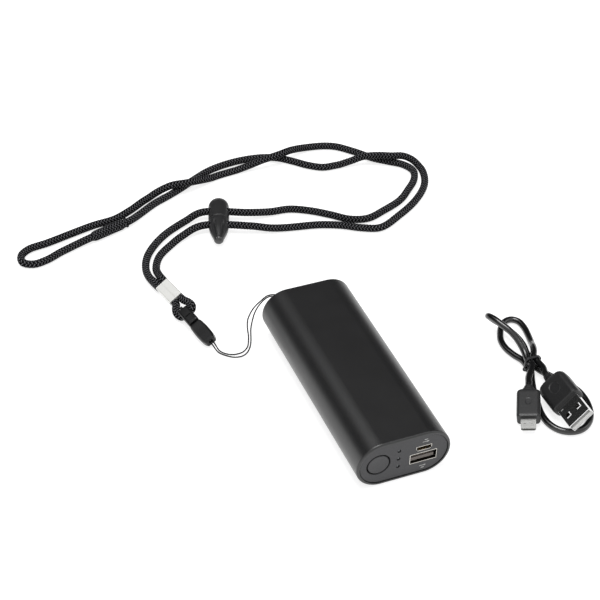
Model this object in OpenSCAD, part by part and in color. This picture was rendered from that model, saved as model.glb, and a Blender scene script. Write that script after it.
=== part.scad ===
// Rechargeable hand warmer with its lanyard and its charging cable.
// +X to the right, +Y from the socket face to the far face, +Z up, in millimetres.
// The origin is the bottom centre of the warmer's body.

/* [Body] */
// Width of the metal sleeve
body_w = 45; // [44:0.5:60]
// Length of the metal sleeve
body_len = 112; // [106:1:150]
// Thickness of the metal sleeve
body_t = 24.2; // [24:0.1:30]
// Wall of the metal sleeve
wall = 1.4; // [1:0.1:1.6]
// Rounding of the sleeve's end rims
edge_r = 1; // [0.3:0.1:1.2]

/* [End caps] */
// Depth of each cap's face below the sleeve's rim
cap_inset = 0.4; // [0.2:0.1:1]
// Thickness of each cap's plate
cap_plate = 2.6; // [2:0.1:3]
// Gap between a cap and the sleeve
cap_gap = 0.12; // [0.05:0.01:0.2]
// Width of the groove around a cap's face
groove_w = 0.6; // [0.3:0.1:1]
// Depth of the groove around a cap's face
groove_depth = 0.8; // [0.4:0.1:1.2]
// Wall of a cap's skirt
skirt_wall = 1.2; // [0.8:0.1:1.4]
// Length of the front cap's skirt
front_skirt = 7; // [6.5:0.1:8]
// Length of the rear cap's skirt
rear_skirt = 6; // [3:0.1:6.4]

/* [Power button] */
// Radius of the button
button_r = 5.2; // [4:0.1:5.5]
// Gap around the button
button_gap = 0.26; // [0.1:0.01:0.4]
// Share of the face's free width that lies outside the button
button_side_share = 0.212; // [0.2:0.002:0.23]
// Height of the button above the middle of the face
button_rise = 0.1; // [0:0.1:0.5]
// Travel of the button
button_travel = 0.5; // [0.3:0.1:0.6]
// Depth of the dish in the button
dish_depth = 0.25; // [0.1:0.05:0.4]
// Width of the flange that keeps the button in
flange_w = 0.8; // [0.5:0.1:0.9]
// Thickness of the flange that keeps the button in
flange_t = 0.8; // [0.5:0.1:1]
// Radius of the button's stem
stem_r = 1.6; // [1:0.1:2]

/* [Light windows] */
// Number of light windows
window_count = 3; // [1:1:3]
// Distance between light windows
window_pitch = 4.6; // [3:0.1:4.8]
// Radius of a light window
window_r = 0.9; // [0.6:0.1:1.2]
// Share of the face's free width between the button and the windows
window_side_share = 0.195; // [0.18:0.005:0.22]
// Depth of the light guides below the face
window_recess = 0.6; // [0.3:0.1:1]

/* [Sockets] */
// Share of the face's free width between the windows and the output socket
socket_side_share = 0.282; // [0.26:0.002:0.3]
// Depth of the output socket's middle below the middle of the face
socket_drop = 2.2; // [2:0.1:2.6]
// Width of the output socket's shell
socket_w = 13.1; // [12.8:0.1:13.4]
// Height of the output socket's shell
socket_h = 5.7; // [5.5:0.1:5.9]
// Length of the output socket's shell
socket_len = 14; // [12:0.5:16]
// Sheet thickness of the output socket's shell
socket_wall = 0.35; // [0.25:0.05:0.4]
// Width of the charging socket's shell at its top
charge_w = 7.6; // [7.4:0.1:8]
// Width of the charging socket's shell at its bottom
charge_foot_w = 5.9; // [5.5:0.1:6.2]
// Height of the charging socket's shell
charge_h = 2.7; // [2.6:0.1:3]
// Length of the charging socket's shell
charge_len = 5.5; // [5:0.1:7]
// Sheet thickness of the charging socket's shell
charge_wall = 0.3; // [0.2:0.05:0.35]
// Gap around a socket in the front cap
socket_gap = 0.1; // [0.05:0.01:0.15]

/* [Boards] */
// Thickness of the main board
board_t = 1.2; // [1:0.1:1.6]
// Thickness of the indicator board
indicator_t = 1; // [0.8:0.1:1.2]
// Gap between the main board and the sleeve
board_gap = 0.8; // [0.6:0.1:1.2]
// Room for the boards behind the front cap
board_room = 34; // [33:0.5:36]
// Gap between the main board and the cells
board_to_cell = 4; // [3:0.5:5]

/* [Cells] */
// Least room between a cell and the sleeve's side
side_room = 2.3; // [1.5:0.1:2.4]
// Room between the cells and the rear cap's plate
foam_room = 7; // [6.6:0.1:10]
// Gap between the two cells
cell_gap = 0.8; // [0.6:0.1:1.2]
// Gap between a cell and its holder
holder_gap = 0.15; // [0.1:0.01:0.2]
// Length of a cell holder
holder_len = 6; // [4:0.5:8]
// Thickness of the nickel strips
strip_t = 0.3; // [0.15:0.05:0.4]
// Height of the nickel strips
strip_h = 8; // [6:0.5:10]

/* [Heaters] */
// Gap between a heater film and the edge of the sleeve's flat side
heater_side_gap = 0.4; // [0.2:0.1:2]
// Gap between a heater film and a cell holder
heater_end_gap = 0.5; // [0.2:0.1:4]
// Thickness of a heater film
heater_t = 0.4; // [0.2:0.05:0.4]
// Least thickness of an insulation pad
pad_t = 1; // [0.5:0.1:1]

/* [Lanyard] */
// Diameter of the lanyard's cord
cord_d = 3.6; // [3:0.1:3.7]
// Diameter of the splice sleeve on the cord
splice_d = 5.3; // [4.8:0.1:5.6]
// Width of the metal crimp
crimp_w = 7.6; // [7.4:0.1:8.2]
// Length of the metal crimp
crimp_len = 13.2; // [10:0.1:13.4]
// Height of the metal crimp
crimp_h = 5; // [4.2:0.1:5.4]
// Distance between the two strands in the crimp
strand_gap = 4; // [4:0.05:4.2]
// Width of the clip's plug half
clip_plug_w = 5.8; // [5.2:0.1:6.2]
// Length of the clip's plug half, without its tongue
clip_plug_len = 10.8; // [9:0.1:10.8]
// Width of the clip's socket half
clip_socket_w = 7.2; // [6.6:0.1:7.6]
// Length of the clip's socket half
clip_socket_len = 14; // [12.5:0.1:14]
// Height of the clip
clip_h = 5.5; // [5:0.1:5.8]
// Gap between the clip's two halves
clip_gap = 0.7; // [0.4:0.1:1]
// Diameter of the thin tether string
string_d = 0.8; // [0.6:0.05:0.9]
// Width of the slide bead
bead_w = 9.4; // [8.4:0.1:10]
// Thickness of the slide bead
bead_t = 8; // [7:0.1:8.4]
// Length of the slide bead's domed head
bead_head_len = 17.6; // [15:0.1:19]
// Length of the slide bead's leaf tail
bead_tail_len = 16.2; // [14:0.1:18]

/* [Charging cable] */
// Diameter of the cable
cable_d = 3.2; // [2.8:0.1:3.3]
// Width of the large plug's metal shell
plug_shell_w = 12; // [11.6:0.1:12.4]
// Height of the large plug's metal shell
plug_shell_h = 4.5; // [4.3:0.1:4.7]
// Length of the large plug's metal shell
plug_shell_len = 12.5; // [11:0.1:14]
// Width of the large plug's grip
grip_w = 15.5; // [14:0.1:15.6]
// Length of the large plug's grip
grip_len = 16.5; // [14:0.1:16.6]
// Height of the large plug's grip
grip_h = 8.4; // [7.6:0.1:8.5]
// Width of the small plug's grip
small_grip_w = 10.8; // [9.8:0.1:11.2]
// Length of the small plug's grip
small_grip_len = 16.2; // [14:0.1:16.4]
// Height of the small plug's grip
small_grip_h = 6.5; // [5.8:0.1:6.6]
// Width of the small plug's metal shell
small_shell_w = 6.9; // [6.6:0.1:7.2]
// Height of the small plug's metal shell
small_shell_h = 1.85; // [1.7:0.05:2]
// Length of the small plug's metal shell
small_shell_len = 5.5; // [5:0.1:6]
// Width of the cable tie
tie_w = 0.9; // [0.6:0.1:1.2]
// Thickness of the cable tie
tie_t = 0.4; // [0.3:0.05:0.5]

/* [Hidden] */

// Facets of a true circle, and of a rounded soft form
round_fn = 48;
form_fn = 28;
// Overrun of every cut
over = 0.5;
// Gap between two pieces that lie against each other without being joined
rest_gap = 0.05;

// Planes of the body
mid_z = body_t / 2;
half_len = body_len / 2;
side_x = (body_w - body_t) / 2;
inner_r = body_t / 2 - wall;
cap_r = inner_r - cap_gap;
skirt_r = cap_r - skirt_wall;
face_y = -half_len + cap_inset;
plate_y = face_y + cap_plate;
rear_face_y = half_len - cap_inset;
rear_plate_y = rear_face_y - cap_plate;

// Places of the front features, set out across the width that they leave free
button_hole_r = button_r + button_gap;
face_half_w = side_x + cap_r;
free_w = 2 * face_half_w - 2 * button_hole_r - 2 * window_r - socket_w;
button_x = face_half_w - button_side_share * free_w - button_hole_r;
window_x = button_x - button_hole_r - window_side_share * free_w - window_r;
socket_x = -window_x + window_r + socket_side_share * free_w + socket_w / 2;
button_z = mid_z + button_rise;
flange_r = button_hole_r + flange_w;
flange_y = plate_y + rest_gap;
window_rise = 0.45;
window_z = mid_z + window_rise;
guide_r = 0.9 * window_r;
guide_bar_t = window_r;
guide_bar_w = 2 * window_r;

// Places of the boards, sockets and switch
indicator_y = plate_y + front_skirt;
indicator_x = window_x - 3 * window_r;
socket_z = mid_z - socket_drop;
board_z = socket_z + socket_h / 2;
charge_z = board_z + board_t + charge_h / 2;
board_y = face_y + cap_plate + board_room - board_to_cell;
board_run = board_y - indicator_y - indicator_t;
board_notch_x = (socket_x - socket_w / 2 - indicator_x) / 2;
board_w = 2 * (side_x + inner_r - board_gap);
tongue_w = 0.85 * socket_w;
tongue_t = 1.84;
tongue_drop = tongue_t / 2 + 2 * rest_gap;
tongue_recess = 1.1;
tongue_block = 3;
charge_tongue_w = 3.7;
charge_tongue_t = 0.65;
switch_w = 6;
switch_depth = 3.5;
switch_pin_w = 0.7;
switch_pin_t = 0.3;
plunger_r = 1.7;
plunger_gap = 0.1;
plunger_out = 1.5;
plunger_in = plunger_gap + button_travel;
led_w = 1.6;
led_h = 0.9;
led_t = 0.6;
chip_w = 5;
chip_h = 0.9;
inductor_w = 7;
inductor_h = 3.4;
capacitor_size = [1.6, 2.8, 1.4];
mosfet_size = [4, 3.4, 1.2];

// Places of the cells and what holds them
cell_y = plate_y + board_room;
cell_end_y = rear_plate_y - foam_room;
cell_len = cell_end_y - cell_y;
cell_r = min(inner_r - heater_t - pad_t - 2 * rest_gap,
    (side_x + inner_r - side_room - cell_gap / 2) / 2);
cell_x = cell_r + cell_gap / 2;
holder_r = inner_r - holder_gap;
bore_r = cell_r + holder_gap;
holder_inset = 1;
shelf_w = 1.6;
shelf_t = 2;
shelf_len = board_to_cell + 3 * shelf_t / 2;
strip_w = 2 * cell_x + strip_h;
valley_w = 3.2;
valley_depth = 2.8;
valley_cover = 0.2;
valley_low = cell_r - valley_depth;
valley_high = cell_r - valley_cover;
wire_notch_w = 3.2;
wire_notch_depth = 1.75;
heater_w = 2 * (side_x - heater_side_gap);
heater_len = cell_len - 2 * (holder_inset + holder_len + heater_end_gap);
heater_y = (cell_y + cell_end_y) / 2 - heater_len / 2;
pad_margin = 3;
pad_h = inner_r - heater_t - cell_r - 2 * rest_gap;

// Wires
lead_r = 0.6;
thin_r = 0.35;
heater_lead_r = 0.42;
thermistor_r = 1.1;
lead_x = 6;
lead_bend = 1.6;

// Pocket and bar for the string in the rear cap
pocket_w = 7;
pocket_h = 4;
pocket_depth = 4;
pocket_out = 0.6;
pocket_x = -(side_x + pocket_out);
pocket_rise = 5.4;
pocket_z = mid_z + pocket_rise;
pocket_wall = 1;
bar_r = 0.9;
bar_inset = 0.2;
bar_y = rear_face_y - bar_inset - bar_r;

// The crimp and the clip lie tilted on the surface, each in its own frame:
// x towards the clip's socket half, y to the left, z up
crimp_at = [-55.5, 101.4, 1.95];
crimp_turn = [27.8, 0, 282.9];
clip_turn = [0, 0, -1.9];
clip_pivot = [22, -1.7, 0];
strand_z = crimp_h / 2;
clip_z = 0.7;
clip_round = 1.5;
eye_x = 2.5;
eye_z = 3.15;
web_w = 1.6;
eye_gap = 0.15;
eye_hole_r = cord_d / 2 + eye_gap;
eye_straight = 1.5;
crimp_straight = 4;
tail_bar_len = 3.2;
tongue_reach = 10;
clip_wall = 1;
prong_gap = 0.25;
panel_inset = 1.2;
panel_depth = 0.45;

// The slide bead lies on the surface, its two holes square to its length
bead_at = [-12.2, 143.1, 0];
bead_yaw = 70;
bead_hole_gap = 5.75;
bead_gap = 0.3;
bead_hole_r = cord_d / 2 + bead_gap;
bead_hole_z = 4;
bead_seam = -0.95;
bead_seam_gap = 0.1;

// The cable's plugs
large_plug_at = [88.2, -47.4, 7.3];
large_plug_turn = [43.3, -3.7, 268];
large_neck_len = 4.5;
small_plug_at = [67.4, -46.2, 3.2];
small_plug_turn = [9, 8, 242.4];
small_neck_len = 3.3;
neck_wall = 0.9;
small_neck_wall = 0.6;
neck_r = cable_d / 2 + neck_wall;
small_neck_r = cable_d / 2 + small_neck_wall;
neck_straight = 2;
grip_round = 3;
small_grip_round = 1.6;
tie_at = [87.2, -13, 0];
tie_gap = 0.2;
tie_strand_gap = 0.6;
tie_run_half = 2.4;
tie_step = cable_d + tie_strand_gap;
tie_low = cable_d / 2 + tie_t + tie_gap + 2 * rest_gap;

function turn_x(p, a) = [p.x, p.y * cos(a) - p.z * sin(a), p.y * sin(a) + p.z * cos(a)];
function turn_y(p, a) = [p.x * cos(a) + p.z * sin(a), p.y, p.z * cos(a) - p.x * sin(a)];
function turn_z(p, a) = [p.x * cos(a) - p.y * sin(a), p.x * sin(a) + p.y * cos(a), p.z];
function placed(p, at, turn) = at + turn_z(turn_y(turn_x(p, turn.x), turn.y), turn.z);
function at_crimp(p) = placed(p, crimp_at, crimp_turn);
function at_clip(p) = at_crimp(placed(p, clip_pivot, clip_turn));
function at_large_plug(p) = placed(p, large_plug_at, large_plug_turn);
function at_small_plug(p) = placed(p, small_plug_at, small_plug_turn);
function at_bead(p) = placed(p, bead_at, [0, 0, bead_yaw]);
function unit(v) = v / norm(v);

// The lanyard's route: one loop from the crimp, through the bead's upper hole, out to the
// right, back to the far left end, and home through the lower hole
straight_back = 9;
straight_on = 16;
lanyard_out = [[-60.4, 112, 2.4], [-59.5, 120, 1.8], [-55.5, 129, 1.8], [-47, 138.5, 1.8],
    [-38, 145, 1.8], [-28, 149.5, 2.4]];
lanyard_across = [[16, 142, 2.4], [26, 141.5, 1.8], [36, 136.5, 1.8], [45, 129.5, 1.8],
    [53, 122.5, 1.8], [62, 120, 1.8], [73, 123.5, 1.8], [85, 129, 1.8], [93, 136, 1.8],
    [100, 143.5, 1.8], [103, 151, 1.8], [100.3, 158, 1.8], [94, 163.5, 1.8], [87.5, 169, 1.8],
    [80, 178.5, 1.8], [72, 186.5, 1.8], [64, 189.8, 1.8], [55, 190.5, 2.4], [46, 187.5, 4.8],
    [37, 184, 6.1], [28, 183.5, 5.2], [20, 184, 3], [11, 183.5, 1.8], [-1, 181.8, 1.8],
    [-10, 179, 3.8], [-18, 176.5, 5.9], [-26, 177, 5.9], [-33, 177.5, 3.6], [-41, 175, 1.8],
    [-52, 168.5, 1.8], [-62, 164, 1.8], [-74, 162.5, 1.8], [-87, 159.5, 1.8],
    [-100, 156.3, 1.8], [-110, 154.5, 1.8], [-115, 150.5, 1.8], [-115.5, 145, 1.8],
    [-111, 142, 1.8], [-104, 143, 1.8], [-95, 147, 1.8], [-86, 150, 2.2]];
splice_from = [-78.5, 152, 2.7];
splice_to = [-56.5, 158.5, 2.7];
splice_margin = 1;
lanyard_home = [[-47, 164.5, 1.8], [-38, 170, 1.8], [-28, 174.5, 1.8], [-20, 178.5, 1.8],
    [-12, 183, 1.8], [-2, 188, 1.8], [9, 190.8, 1.8], [20, 191.5, 1.8], [30, 190.2, 1.8],
    [38, 187, 1.8], [45, 181, 1.8], [51, 175, 1.8], [58, 170.5, 1.8], [66, 169.8, 1.8],
    [74, 169.5, 3], [81, 168.3, 5], [88, 165.5, 6], [95, 162.5, 6], [101.5, 161.3, 5.2],
    [105.8, 158.5, 3.6], [108, 152.5, 1.8], [106.5, 144, 1.8], [102, 135.5, 1.8],
    [92, 125.5, 1.8], [79, 117, 1.8], [65, 110.5, 1.8], [56, 113.5, 1.8], [47, 119, 1.8],
    [36, 123.5, 1.8], [24, 126, 1.8], [12, 128.5, 2.4]];
lanyard_in = [[-34, 138, 2.4], [-43, 132.5, 1.8], [-50.5, 126, 1.8], [-54.7, 118, 1.8],
    [-55.6, 111.5, 3.2]];
function through_bead(side, t) = at_bead([side * bead_hole_gap, -t, bead_hole_z]);
function crimp_strand(x, side) = at_crimp([x, side * strand_gap / 2, strand_z]);
lanyard_route = concat(
    [crimp_strand(0, -1), crimp_strand(-crimp_straight, -1)], lanyard_out,
    [through_bead(1, -straight_back), through_bead(1, straight_on)], lanyard_across,
    [splice_from, splice_to], lanyard_home,
    [through_bead(-1, straight_on), through_bead(-1, -straight_back)], lanyard_in,
    [crimp_strand(-crimp_straight, 1), crimp_strand(0, 1)]);

// The eye loop's route in the crimp's frame, through the hole in the clip's plug half
eye_route = concat(
    [[crimp_len, -strand_gap / 2, strand_z], [crimp_len + eye_straight, -strand_gap / 2, strand_z]],
    [[17, -3.6, 2.9], [19, -4.6, eye_z], [22.2, -4.8, eye_z], [23.8, -4.1, eye_z],
    [24.5, -2.7, eye_z], [24.5, -0.7, eye_z], [24.4, 1, eye_z], [23.6, 2.4, eye_z],
    [22, 3.1, eye_z], [19.5, 3, eye_z], [17, 2.4, 2.8]],
    [[crimp_len + eye_straight, strand_gap / 2, strand_z], [crimp_len, strand_gap / 2, strand_z]]);

// The tether string's route: middle of the two strands and half their distance
string_half_gap = 0.6;
tether_middle = [[-46.5, 49.5, 0.8], [-44, 46.5, 0.5], [-41, 44.5, 0.5], [-38, 44, 0.5],
    [-35, 45, 0.5], [-32, 48, 0.5], [-30, 52, 0.5], [-28.5, 56, 0.5], [-27, 60.5, 0.7],
    [-25, 64.5, 2], [-22, 67.2, 5], [-18.5, 67.5, 9], [-15, 66, 13]];
tether_gap_shares = [1, 1, 1.6, 2, 1.6, 1, 1, 1, 1.4, 2, 2, 1.5, 1];

// The charging cable's route: from the small plug through the tie to the narrow loop, back
// through the tie to the long loop, through it to the oval loop, and out to the large plug
cable_lead_small = [[79.3, -23.4, 6.8], [82.2, -20, 6.6], [84.3, -17.6, 6.3]];
cable_narrow_up = [[85.8, -7.4, 6.9], [85.6, -3.9, 8.5], [84.8, 0, 10.3], [83, 4, 12.2],
    [80.9, 8.2, 13.2], [79.3, 12.6, 13.5], [78.6, 16.6, 12.3], [80.3, 19.2, 9.5],
    [83.4, 18.8, 6.6], [86, 15.8, 5.4]];
cable_narrow_down = [[87.2, 11.6, 5.3], [88.4, 7.6, 5.1], [89.3, 4.2, 4.5], [89.8, 0.6, 3.5],
    [89.4, -3.6, 2.5]];
cable_long = [[91.6, -19.4, 1.7], [94.6, -24.4, 1.6], [98, -29.6, 1.6], [99.8, -34.6, 1.6],
    [100.2, -40, 1.6], [99.2, -46, 1.6], [97, -51.2, 1.6], [93.2, -55.6, 1.6], [88.3, -58, 1.6],
    [83.2, -57.6, 1.6], [78.9, -54.8, 1.6], [76.4, -49.8, 1.6], [76.2, -43, 1.6],
    [78, -35.5, 1.6], [80.6, -27, 1.6], [83.2, -20.4, 1.7]];
cable_oval = [[85.2, -6.8, 1.9], [83.5, -2.1, 1.6], [82.2, 3.4, 1.6], [82.6, 9.2, 1.6],
    [84.9, 14.4, 1.6], [87.7, 18.6, 1.6], [91, 21.2, 1.6], [94.6, 21.5, 1.6], [97.2, 19, 1.6],
    [97.7, 14, 1.6], [96.6, 7.6, 1.8], [94.6, 1, 3], [93, -3, 4.7], [91.2, -6.8, 5.7]];
cable_lead_large = [[89, -19.6, 6.6]];
function tie_slot(side, row, y) =
    tie_at + [side * tie_step / 2, y, tie_low + row * tie_step];
function tie_run(side, row, way) =
    [for (k = [-1 : 1]) tie_slot(side, row, k * way * tie_run_half)];
cable_route = concat(
    [at_small_plug([-small_grip_len - small_neck_len, 0, small_shell_h / 2]),
    at_small_plug([-small_grip_len - small_neck_len - neck_straight, 0, small_shell_h / 2])],
    cable_lead_small, tie_run(-1, 1, 1), cable_narrow_up, cable_narrow_down,
    tie_run(1, 0, -1), cable_long, tie_run(-1, 0, 1), cable_oval, tie_run(1, 1, -1),
    cable_lead_large,
    [at_large_plug([-grip_len - large_neck_len - neck_straight, 0, plug_shell_h / 2]),
    at_large_plug([-grip_len - large_neck_len, 0, plug_shell_h / 2])]);

// A tube swept along a route, its rings square to the route
function tangents(p) = [for (i = [0 : len(p) - 1])
    i == 0 ? unit(p[1] - p[0])
    : i == len(p) - 1 ? unit(p[i] - p[i - 1])
    : unit(unit(p[i + 1] - p[i]) + unit(p[i] - p[i - 1]))];
function square_to(n, t) = unit(n - (n * t) * t);
function normals(t) = [for (i = 0, n = unit(cross([0, 0, 1], t[0])); i < len(t);
    i = i + 1, n = i < len(t) ? square_to(n, t[i]) : n) n];
function ring(c, n, t, r, sides) = [for (k = [0 : sides - 1])
    let (a = (k + 0.5) * 360 / sides) c + r * (cos(a) * n + sin(a) * cross(t, n))];
function tube_points(p, r, sides) = let (t = tangents(p), n = normals(t))
    [for (i = [0 : len(p) - 1]) each ring(p[i], n[i], t[i], r, sides)];
function tube_faces(rings, sides) = concat(
    [for (i = [0 : rings - 2], k = [0 : sides - 1], half = [0, 1])
        let (a = i * sides + k, b = i * sides + (k + 1) % sides)
        half == 0 ? [a, b + sides, b] : [a, a + sides, b + sides]],
    [for (k = [1 : sides - 2]) [0, k, k + 1]],
    [for (k = [1 : sides - 2]) let (a = (rings - 1) * sides) [a, a + k + 1, a + k]]);
module tube(p, r, sides) {
    polyhedron(points = tube_points(p, r, sides), faces = tube_faces(len(p), sides));
}

// Least gap between far stretches of one route, measured on points along it
samples = 4;
function along(p) = [for (i = [0 : len(p) - 2], k = [0 : samples - 1])
    p[i] + (p[i + 1] - p[i]) * k / samples];
function steps(q) = [for (i = 0, s = 0; i < len(q);
    i = i + 1, s = i < len(q) ? s + norm(q[i] - q[i - 1]) : s) s];
function least_gap(p, d) = let (q = along(p), s = steps(q))
    min([for (i = [0 : len(q) - 2], j = [i + 1 : len(q) - 1])
        if (s[j] - s[i] > 4 * d) norm(q[j] - q[i])]) - d;
function route_len(p) = let (s = steps(along(p))) s[len(s) - 1];
echo(lanyard_length = route_len(lanyard_route), lanyard_gap = least_gap(lanyard_route, cord_d));
echo(cable_length = route_len(cable_route), cable_gap = least_gap(cable_route, cable_d));

module along_y(y0, y1) {
    translate([0, y1, 0]) rotate([90, 0, 0]) linear_extrude(y1 - y0) children();
}
module pill_shape(r) {
    for (side = [-1, 1]) translate([side * side_x, mid_z]) circle(r, $fn = round_fn);
    translate([-side_x, mid_z - r]) square([2 * side_x, 2 * r]);
}
module box_shape(w, h, r) {
    for (x = [-1, 1], y = [-1, 1])
        translate([x * (w / 2 - r), y * (h / 2 - r)]) circle(r, $fn = round_fn);
    square([w - 2 * r, h], center = true);
    square([w, h - 2 * r], center = true);
}
module round_box(w, h, len, r) {
    rotate([90, 0, 90]) linear_extrude(len) box_shape(w, h, r);
}
module rod(from, to, r) {
    d = to - from;
    translate(from) rotate([0, acos(d.z / norm(d)), atan2(d.y, d.x)])
        cylinder(h = norm(d), r = r, $fn = round_fn / 2);
}
module wire(points, r) {
    for (i = [0 : len(points) - 2]) rod(points[i], points[i + 1], r);
    for (i = [1 : len(points) - 2]) translate(points[i]) sphere(r, $fn = round_fn / 2);
}
module in_crimp_frame() {
    translate(crimp_at) rotate(crimp_turn) children();
}
module in_clip_frame() {
    in_crimp_frame() translate(clip_pivot) rotate(clip_turn) children();
}

module sleeve_blank() {
    for (side = [-1, 1]) translate([side * side_x, 0, mid_z]) rotate([-90, 0, 0])
        rotate([0, 0, -side * 90]) rotate_extrude(angle = 180, $fn = 2 * round_fn) {
            translate([0, -half_len]) square([mid_z - edge_r, body_len]);
            translate([0, -half_len + edge_r]) square([mid_z, body_len - 2 * edge_r]);
            for (end = [-1, 1]) translate([mid_z - edge_r, end * (half_len - edge_r)])
                circle(edge_r, $fn = round_fn);
        }
    translate([-side_x, 0, mid_z]) round_box(body_len, body_t, 2 * side_x, edge_r);
}
module sleeve() {
    color("#2b2b2d") difference() {
        sleeve_blank();
        along_y(-half_len - over, half_len + over) pill_shape(inner_r);
    }
}

module cap_blank(y_face, y_plate, y_skirt) {
    way = sign(y_plate - y_face);
    y_groove = y_face + way * groove_depth;
    along_y(min(y_face, y_groove), max(y_face, y_groove)) pill_shape(cap_r - groove_w);
    along_y(min(y_groove, y_plate), max(y_groove, y_plate)) pill_shape(cap_r);
    along_y(min(y_plate, y_skirt), max(y_plate, y_skirt)) difference() {
        pill_shape(cap_r);
        pill_shape(skirt_r);
    }
}
module charge_shape(grow) {
    foot = charge_foot_w / 2 + grow;
    top = charge_w / 2 + grow;
    h = charge_h / 2 + grow;
    shoulder = h - 0.55 * charge_h;
    polygon([[-foot, -h], [foot, -h], [top, shoulder], [top, h], [-top, h], [-top, shoulder]]);
}
module front_cap() {
    y0 = face_y - over;
    y1 = plate_y + over;
    color("#2c2c2e") difference() {
        cap_blank(face_y, plate_y, plate_y + front_skirt);
        along_y(y0, y1) translate([-button_x, button_z])
            circle(button_hole_r, $fn = round_fn);
        for (i = [0 : window_count - 1]) along_y(y0, y1)
            translate([-window_x, window_z + (i - (window_count - 1) / 2) * window_pitch])
                circle(window_r, $fn = round_fn);
        along_y(y0, y1) translate([socket_x, socket_z])
            square([socket_w + 2 * socket_gap, socket_h + 2 * socket_gap], center = true);
        along_y(y0, y1) translate([socket_x, charge_z]) charge_shape(socket_gap);
        along_y(plate_y, indicator_y + over) {
            translate([0, board_z - socket_gap]) square([body_w, board_t + 2 * socket_gap]);
            translate([socket_x, socket_z])
                square([socket_w + 2 * socket_gap, socket_h + 2 * socket_gap], center = true);
            translate([-button_x, button_z]) circle(flange_r + button_gap, $fn = round_fn);
        }
    }
}
module rear_cap() {
    floor_y = rear_face_y - pocket_depth;
    color("#2c2c2e") difference() {
        union() {
            cap_blank(rear_face_y, rear_plate_y, rear_plate_y - rear_skirt);
            along_y(floor_y - pocket_wall, rear_plate_y) translate([pocket_x, pocket_z])
                square([pocket_w + 2 * pocket_wall, pocket_h + 2 * pocket_wall], center = true);
        }
        difference() {
            along_y(floor_y, rear_face_y + over) translate([pocket_x, pocket_z])
                square([pocket_w, pocket_h], center = true);
            translate([pocket_x, bar_y, pocket_z])
                cylinder(h = pocket_h + 2 * over, r = bar_r, center = true, $fn = round_fn);
        }
    }
}
module power_button() {
    dish_r = (pow(button_r, 2) + pow(dish_depth, 2)) / (2 * dish_depth);
    color("#303032") translate([-button_x, 0, button_z]) rotate([-90, 0, 0]) difference() {
        union() {
            translate([0, 0, face_y]) cylinder(h = flange_y - face_y, r = button_r,
                $fn = round_fn);
            translate([0, 0, flange_y]) cylinder(h = flange_t, r = flange_r, $fn = round_fn);
            translate([0, 0, flange_y + flange_t]) cylinder(
                h = indicator_y - switch_depth - plunger_out - flange_y - flange_t,
                r = stem_r, $fn = round_fn);
        }
        translate([0, 0, face_y + dish_depth - dish_r])
            sphere(dish_r, $fn = 2 * round_fn);
    }
}
module switch_plunger() {
    color("#e9e6dc") translate([-button_x, indicator_y - switch_depth - plunger_out, button_z])
        rotate([-90, 0, 0]) cylinder(h = plunger_out + plunger_in, r = plunger_r,
            $fn = round_fn);
}
module tact_switch() {
    front = indicator_y - switch_depth;
    well = plunger_in + button_travel + plunger_gap;
    color("#3a3a3c") difference() {
        union() {
            translate([-button_x, front + switch_depth / 2, button_z])
                cube([switch_w, switch_depth, switch_w], center = true);
            for (z = [-1, 1]) translate([-button_x,
                indicator_y - switch_pin_t / 2, button_z + z * switch_w / 3])
                cube([switch_w + 3 * switch_pin_w, switch_pin_t, switch_pin_w], center = true);
        }
        translate([-button_x, front - over, button_z]) rotate([-90, 0, 0])
            cylinder(h = well + over, r = plunger_r + plunger_gap, $fn = round_fn);
    }
}
module indicator_board() {
    color("#1d5b3a") along_y(indicator_y, indicator_y + indicator_t) intersection() {
        pill_shape(holder_r);
        translate([-body_w / 2, 0]) square([body_w / 2 - indicator_x, body_t]);
    }
}
module window_row() {
    for (i = [0 : window_count - 1])
        translate([-window_x, 0, window_z + (i - (window_count - 1) / 2) * window_pitch])
            children();
}
module status_leds() {
    color("#f4f1d8") window_row() translate([0, indicator_y - led_t / 2, 0])
        cube([led_w, led_t, led_h], center = true);
}
module light_guide() {
    y0 = face_y + window_recess;
    y1 = indicator_y - led_t - rest_gap;
    span = (window_count - 1) * window_pitch;
    color("#e8ecee") union() {
        window_row() translate([0, y0, 0]) rotate([-90, 0, 0])
            cylinder(h = y1 - y0, r = guide_r, $fn = round_fn);
        translate([-window_x, plate_y + rest_gap + guide_bar_t / 2, window_z])
            cube([guide_bar_w, guide_bar_t, span + 2 * guide_r], center = true);
    }
}
module main_board() {
    back_y = board_y;
    step_y = indicator_y + indicator_t;
    slim = skirt_r + side_x - 4 * rest_gap - board_notch_x;
    color("#1d5b3a") translate([0, 0, board_z]) union() {
        translate([board_notch_x, plate_y, 0])
            cube([slim, step_y - plate_y, board_t]);
        translate([-board_w / 2, step_y, 0]) cube([board_w, back_y - step_y, board_t]);
    }
}
module usb_a_socket() {
    color("#d5d8da") difference() {
        translate([socket_x, face_y + socket_len / 2, socket_z])
            cube([socket_w, socket_len, socket_h], center = true);
        translate([socket_x, face_y - over + socket_len / 2 - socket_wall / 2, socket_z])
            cube([socket_w - 2 * socket_wall, socket_len + 2 * over - socket_wall,
                socket_h - 2 * socket_wall], center = true);
    }
}
module usb_a_tongue() {
    back = face_y + socket_len - socket_wall;
    color("#e4e4e0") union() {
        translate([socket_x - tongue_w / 2, face_y + tongue_recess,
            socket_z - tongue_drop - tongue_t / 2])
            cube([tongue_w, back - face_y - tongue_recess, tongue_t]);
        translate([socket_x, back - tongue_block / 2, socket_z])
            cube([socket_w - 2 * socket_wall - 2 * rest_gap, tongue_block,
                socket_h - 2 * socket_wall - 2 * rest_gap], center = true);
    }
}
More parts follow.
